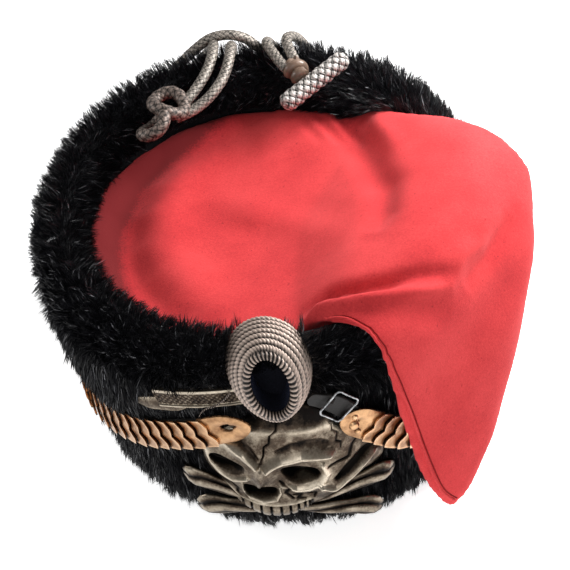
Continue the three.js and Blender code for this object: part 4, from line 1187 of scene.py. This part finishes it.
class StrapLine:
    def __init__(self, rows):
        self.dense, self.run = route(rows)
        self.length = self.run[-1]
        self.along = unit(np.gradient(self.dense, axis=0))
        out = unit(self.dense * (1, 1, 0) - (2, 0, 0))
        out -= self.along * (out * self.along).sum(1)[:, None]
        self.out = unit(out)
        up = np.cross(self.along, self.out)
        self.up = up * np.where(up[:, 2] < 0, -1, 1)[:, None]

    def at(self, rows, s):
        return pointsAt(s, self.run, rows)

    def point(self, s, w, h):
        s, w, h = np.broadcast_arrays(np.asarray(s, float), np.asarray(w, float), np.asarray(h, float))
        beyond = (s - np.clip(s, 0, self.length))[:, None]
        spot = self.at(self.dense, s) + self.at(self.along, s) * beyond
        return spot + self.at(self.up, s) * w[:, None] + self.at(self.out, s) * h[:, None]


strapLines = {side: StrapLine(rows) for side, rows in strapRows.items()}


def scaleReach(v):
    return np.clip(np.where(v < 0.5, v, 1 - v) / 0.46, 0, 1)


def scaleWear(u, v):
    t = scaleReach(v)
    edge = smoothStep(np.abs(u * 2 - 1), 0.86, 1)
    return 0.50 - 0.45 * (t < 0.25) + 0.3 * smoothStep(t, 0.75, 1) + 0.25 * edge


def scaleParts(side):
    line = strapLines[side]
    run = line.length - plateLength[side] - strap["first"]
    count = round(run / strap["pitch"])
    pitch = run / count
    parts = []
    for number in range(count):
        def place(u, v, number=number):
            w = u * 2 - 1
            t = scaleReach(v)
            under = v > 0.5
            lobe = 2.4 * (1 - np.abs(np.abs(w) * 2 - 1) ** 1.6) - 1.2
            puff = 0.55 * (1 - (2 * np.abs(w) - 1) ** 2) * t
            s = strap["first"] + number * pitch + t * (pitch + 1.4) + lobe
            h = strap["floor"] + strap["lift"] * t + 0.5 * (1 - w * w)
            h = h + np.where(under, 0, strap["metal"] + puff)
            return line.point(s, w * strap["scaleWidth"] / 2, h)

        parts.append(gridPiece("scale", 32, 16, place, close=True, wear=scaleWear))
    return parts


def bezier(a, b, c, count=16):
    t = np.linspace(0, 1, count)[:, None]
    return (1 - t) ** 2 * np.array(a) + 2 * t * (1 - t) * np.array(b) + t**2 * np.array(c)


def endPlatePiece(side):
    line, size, half = strapLines[side], plateLength[side], strap["scaleWidth"] / 2
    outline = np.vstack([
        [(-2, -half), (-2 + size * 0.2, -half)],
        bezier((size * 0.45, -half), (size * 0.9, -half * 0.8), (size, -1.5)),
        bezier((size, -1.5), (size + 0.6, 0), (size, 1.5), 6)[1:],
        bezier((size, 1.5), (size * 0.85, half * 0.9), (size * 0.45, half))[1:],
        [(-2 + size * 0.2, half), (-2, half), (-2, 0), (-2, -half)],
    ])
    run = runAlong(outline)
    centre = np.array([size * 0.52, 1.0])
    slot = (4.6, 1.7) if side == "left" else (0.02, 0.02)

    def place(u, v):
        outer = pointsAt(u * run[-1], run, outline, (0, 1))
        turn = np.arctan2(outer[:, 1] - centre[1], outer[:, 0] - centre[0])
        pear = 1 - 0.35 * smoothStep(np.cos(turn), -0.4, 1)
        high = slot[1] * np.sin(turn) * (1.35 - 0.6 * (pear < 0.8))
        inner = centre + np.stack([slot[0] * np.cos(turn), high], 1)
        front = np.clip((v - 0.06) / 0.54, 0, 1)
        back = np.clip((v - 0.66) / 0.34, 0, 1)
        share = np.where(v < 0.63, front, 1 - back)
        spot = inner + (outer - inner) * share[:, None]
        lift = 1.2 * np.clip((spot[:, 0] - 5) / size, 0, 1)
        dome = 0.9 * np.sin(math.pi * np.clip(share, 0, 1)) ** 0.8
        face = (v >= 0.06) & (v <= 0.6)
        h = strap["floor"] + lift + np.where(face, strap["metal"] + dome, 0)
        return line.point(line.length - size + spot[:, 0], spot[:, 1], h)

    def wear(u, v):
        return 0.52 - 0.4 * (v > 0.62) - 0.2 * (v < 0.08)

    return gridPiece(side + "EndPlate", 120, 34, place, close=True, wear=wear)


def domePiece(name, line, s, w, profile, around=40, steps=30, ringed=0.0):
    section = np.array(profile, float)

    def place(u, v):
        radius, h = pointsAt(v, np.linspace(0, 1, len(section)), section, (0, 1)).T
        turn = u * 2 * math.pi
        h = h + ringed * np.sin(radius * 2.2)
        return line.point(s + radius * np.cos(turn), w + radius * np.sin(turn), h)

    return gridPiece(name, around, steps, place, close=True, wear=lambda u, v: 0.35 + 0.4 * v)


def strapPlace(line, end, start=4):
    # the four sides of the leather's section, one after the other
    def place(u, v):
        turn = (v * 4) % 4
        side = [turn < 1, turn < 2, turn < 3]
        w = np.select(side, [turn - 0.5, 0.5, 2.5 - turn], -0.5)
        h = np.select(side, [1, 3 - 2 * turn, -1], 2 * turn - 7)
        return line.point(start + (end - start) * u, w * strap["width"], h * (strap["thick"] / 2))
    return place


# out to in: radius and distance from the strap's middle
bossProfile = [(11, 1.2), (11.6, 1.8), (11.2, 2.6), (9, 4.6), (5, 6), (0.05, 6.4)]
for side, line in strapLines.items():
    end = line.length - plateLength[side] + 3
    band = gridPiece(side + "Strap", 90, 24, strapPlace(line, end), close=True)
    finishPiece(band, strapLeather, "leather", "chin_strap_" + side, angle=40)
    scales = scaleParts(side)
    names = [f"chin_scale_{side}_{i + 1:02d}" for i in range(len(scales))]
    finishPiece(joined(side + "Scales", scales), copper, "copper", *names, angle=50)
    finishPiece(endPlatePiece(side), copper, "copper", "end_plate_" + side, angle=50)
    boss = domePiece(side + "Boss", line, 11, 0, bossProfile, ringed=0.15)
    finishPiece(boss, copper, "copper", "side_boss_" + side, angle=50)

rightLine = strapLines["right"]
rivets = []
for s, w, size in ((9, -2, 1), (5.5, 3, 0.6), (13.5, -4.5, 0.6)):
    shape = [(2.6 * size, 2.9), (2.8 * size, 3.4), (1.9 * size, 3.4 + 1.1 * size), (0.05, 3.4 + 1.4 * size)]
    rivets.append(domePiece("rivet", rightLine, rightLine.length - s, w, shape, 20, 12))
finishPiece(joined("plateRivets", rivets), copper, "copper", "plate_rivet")
print("chin scales made")

# buckle, its leather end, keeper and the wire tie
buckleCorners = [(14, 97), (24.5, 110), (34.5, 99.5), (23.5, 88)]
buckleRoute = []
for i, corner in enumerate(buckleCorners):
    here, after = np.array(corner, float), np.array(buckleCorners[(i + 1) % 4], float)
    buckleRoute += [tuple(here + (after - here) * share) for share in (0.09, 0.3, 0.7, 0.91)]
buckleWire = {"radius": 0.62, "above": 8.0}
ring = seatPoint(*np.array(buckleRoute).T, buckleWire["above"])
buckle = tubePiece("buckleWire", ring, buckleWire["radius"], 14, 160, closed=True)[0]
finishPiece(buckle, brightWire, "silver", "buckle_frame")

tongueUpper = [(34, 92), (30, 98), (24, 104), (17, 107), (12, 108.5), (9.2, 106)]
tongueLower = [(27.5, 85), (23, 90), (16, 97), (12, 100), (9.5, 101.5), (8.8, 103.4)]
tongue = gridPiece("buckleTongue", 80, 30, bandPlace(tongueUpper, tongueLower, 4.4, 6), merge=False)
finishPiece(tongue, strapLeather, "leather", "buckle_tongue")
keeperBand = bandPlace([(20.2, 104.5), (22.8, 103.3)], [(18.5, 101.5), (21.2, 100.2)], 6.3, 6.9)
keeper = gridPiece("buckleKeeper", 16, 16, keeperBand, merge=False)
finishPiece(keeper, silver, "silver", "buckle_keeper")
tieRadius = 0.38
tieRows = [
    (-28, 112, 5.5), (-32, 106, 5.2), (-36.5, 101, 5.2), (-41, 98, 5), (-44, 94, 4.6), (-45.5, 90, 4.4),
]


def tieTwist(u, v):
    return 0.14 * np.sin(4 * math.pi * (u + 9 * v))


tie = tubePiece("wireTie", seatPoint(*np.array(tieRows).T), tieRadius, 12, 160, relief=tieTwist)[0]
finishPiece(tie, roseCord, "silver", "wire_tie")
print("fittings made")

# hair: strips of three faces, combed down the wall and up over the crest
fur = {
    "count": 172000, "tufts": 8500, "length": (9.5, 14), "width": 0.38, "clump": 0.45, "pieces": 4,
    "combDown": 92, "combUp": 122, "tuftPlace": (-22, -99, 137), "tuftWide": 4.5, "cropped": 0.5,
    "strays": 0.05, "paleAndGlint": 0.03,
}
tuftLift = np.array([-1.0, 2.0, 9.0])  # of the upright lock beside the field badge
hairLeans = [(4.0, 0.6, 0.55), (5.4, 0.4, -0.35)]  # round the wall: angle, spread, sideways lean
bagLip = {"right": 6, "front": -70, "above": 118, "deep": 16}  # where no hair may hide the bag
hairWall = {"middle": (-2, 0), "deep": 22, "below": 118}  # where no hair may hide a badge or scale
random = np.random.default_rng(7)


def furRoots(count):
    rows = random.uniform(0.25, 11.4, count * 3)
    angles = random.uniform(0, 2 * math.pi, count * 3)
    spots = furPlace(angles, rows)
    across = furPlace(angles + 0.01, rows) - spots
    along = furPlace(angles, rows + 0.02) - spots
    area = np.linalg.norm(np.cross(across, along), axis=1)
    keep = random.uniform(0, np.percentile(area, 99), count * 3) < area
    rows, angles, spots = rows[keep][:count], angles[keep][:count], spots[keep][:count]
    return rows, angles, spots, unit(np.cross(across[keep][:count], along[keep][:count]))


def combing(rows, angles, spots, out):
    around = np.stack([-np.sin(angles), np.cos(angles), 0 * angles], 1)
    away = np.stack([np.cos(angles), np.sin(angles), 0 * angles], 1)
    up = np.array([0, 0, 1.0])
    lift = smoothStep(spots[:, 2], fur["combDown"], fur["combUp"])
    lift = np.where(rows > 8, 1, lift)
    slant = sum(lean * np.exp(-(((angles - at) / wide) ** 2)) for at, wide, lean in hairLeans)
    slant = slant * (1 - lift)
    low = smoothStep(30 - spots[:, 2], 0, 25)
    down = -up + away * (0.17 + 0.08 * low)[:, None] + around * slant[:, None]
    over = smoothStep(rows, 8.3, 10.6)
    rise = up * (0.75 - 0.45 * over)[:, None] + away * (0.35 - 1.0 * over)[:, None] + around * 0.25
    comb = down * (1 - lift)[:, None] + rise * lift[:, None] + out * 0.18
    return unit(comb)


def hairStrands():
    rows, angles, roots, out = furRoots(fur["count"])
    count = len(roots)
    comb = combing(rows, angles, roots, out)
    tuftRoots = roots[: fur["tufts"]]
    tuftComb = unit(comb[: fur["tufts"]] + random.normal(0, 0.24, (len(tuftRoots), 3)))
    tuftLong = random.uniform(*fur["length"], len(tuftRoots))
    tree = KDTree(len(tuftRoots))
    for i, spot in enumerate(tuftRoots):
        tree.insert(spot, i)
    tree.balance()
    near = np.array([tree.find(spot)[1] for spot in roots])
    short = smoothStep(rows, 6.6, 8.2)
    long = tuftLong[near] * random.uniform(0.7, 1.12, count) * (1 - 0.28 * short)
    stray = random.uniform(0, 1, count) < fur["strays"]
    way = 0.45 * comb + 0.55 * tuftComb[near] + random.normal(0, 0.13, (count, 3))
    way[stray] += random.normal(0, 0.45, (stray.sum(), 3))
    way = unit(way)
    ends = roots + way * long[:, None]
    tuftEnds = tuftRoots + tuftComb * tuftLong[:, None]
    pull = fur["clump"] * random.uniform(0.6, 1.1, count)[:, None] * (~stray)[:, None]
    ends = ends + (tuftEnds[near] - ends) * pull
    upright = np.exp(-((np.linalg.norm(roots - fur["tuftPlace"], axis=1) / fur["tuftWide"]) ** 2))
    ends += upright[:, None] * tuftLift
    start = out * 0.5 + way * 0.6
    bend = roots + start * (long * 0.45)[:, None]
    shares = np.array([0, 0.33, 0.66, 1.0])
    path = [roots * (1 - t) ** 2 + bend * (2 * t * (1 - t)) + ends * t**2 for t in shares]
    path = np.stack(path, 1)
    path[:, :, 2] = np.maximum(path[:, :, 2], 0.4)
    return path, near


def hit(trees, *line):
    for start, end in zip(line[:-1], line[1:]):
        way = end - start
        if any(tree.ray_cast(start, way, way.length)[0] is not None for tree in trees):
            return True
    return False


def clearHairs(path):
    shown = solidTree([piece for piece in finished if piece not in (bag, hideBody)])
    cloth = solidTree([bag])
    trees = (shown, cloth)
    keep = np.ones(len(path), bool)
    path = path.copy()
    middleX, middleY = hairWall["middle"]
    fromEye = (Vector(photo["target"]) - Vector(photo["eye"])).normalized()
    for i, (root, one, two, end) in enumerate(path):
        root, one, two, end = Vector(root), Vector(one), Vector(two), Vector(end)
        if hit(trees, root, two, end):
            one, two, end = (root + (spot - root) * fur["cropped"] for spot in (one, two, end))
            path[i, 1:] = one, two, end
            if hit(trees, root, end):
                keep[i] = False
                continue
        atLip = end.x > bagLip["right"] and end.y < bagLip["front"] and end.z > bagLip["above"]
        if atLip and cloth.ray_cast(end, fromEye, bagLip["deep"])[0] is not None:
            keep[i] = False
            continue
        inward = Vector((middleX - end.x, middleY - end.y, 0)).normalized()
        covers = [shown.ray_cast(spot, inward, hairWall["deep"])[0] for spot in (one, two, end)]
        if end.z < hairWall["below"] and any(place is not None for place in covers):
            keep[i] = False
    return path[keep], keep


def hairMesh(name, path, tones):
    count = len(path)
    side = unit(np.cross(path[:, 3] - path[:, 0], random.normal(0, 1, (count, 3))), 1e-6)
    half = side * (fur["width"] / 2) * random.uniform(0.7, 1.2, count)[:, None]
    root, one, two, end = path[:, 0], path[:, 1], path[:, 2], path[:, 3]
    points = np.stack([root - half, root + half, one - half * 0.9, two + half * 0.7, end], 1)
    faces = np.array([[0, 1, 2], [2, 1, 3], [2, 3, 4]])
    corners = (faces[None] + 5 * np.arange(count)[:, None, None]).reshape(-1)
    mesh = bpy.data.meshes.new(name)
    mesh.vertices.add(count * 5)
    mesh.vertices.foreach_set("co", toFrame(points.reshape(-1, 3)).ravel())
    mesh.loops.add(len(corners))
    mesh.loops.foreach_set("vertex_index", corners)
    mesh.polygons.add(count * 3)
    mesh.polygons.foreach_set("loop_start", np.arange(0, len(corners), 3))
    mesh.update(calc_edges=True)
    obj = bpy.data.objects.new(name, mesh)
    bpy.context.collection.objects.link(obj)
    setAttribute(obj, "tone", np.repeat(tones, 5))
    return finishPiece(obj, hair, "fur")


strands, tufts = hairStrands()
strands, kept = clearHairs(strands)
tufts = tufts[kept]
tones = random.beta(1.2, 3.0, len(strands)) * 0.8
tones = np.clip(tones + random.uniform(0, 0.25, fur["tufts"])[tufts], 0, 0.95)
# a few hairs painted pale: partly real pale hairs, partly painted glints of light on the fur
tones[random.uniform(0, 1, len(strands)) < fur["paleAndGlint"]] = 1
hairPieces = []
for number, share in enumerate(np.array_split(random.permutation(len(strands)), fur["pieces"])):
    hairPieces.append(hairMesh("hair" + str(number), strands[share], tones[share]))
print("hair made:", len(strands), "strands")

bpy.ops.mesh.primitive_plane_add(size=6)
floor = bpy.context.object
floor.name = "floor"
floor.data.materials.append(newMaterial(
    "paleFloor", Base_Color=(0.9, 0.9, 0.9, 1), Roughness=0.9, Emission_Color=(1, 1, 1, 1),
    Emission_Strength=0.75))
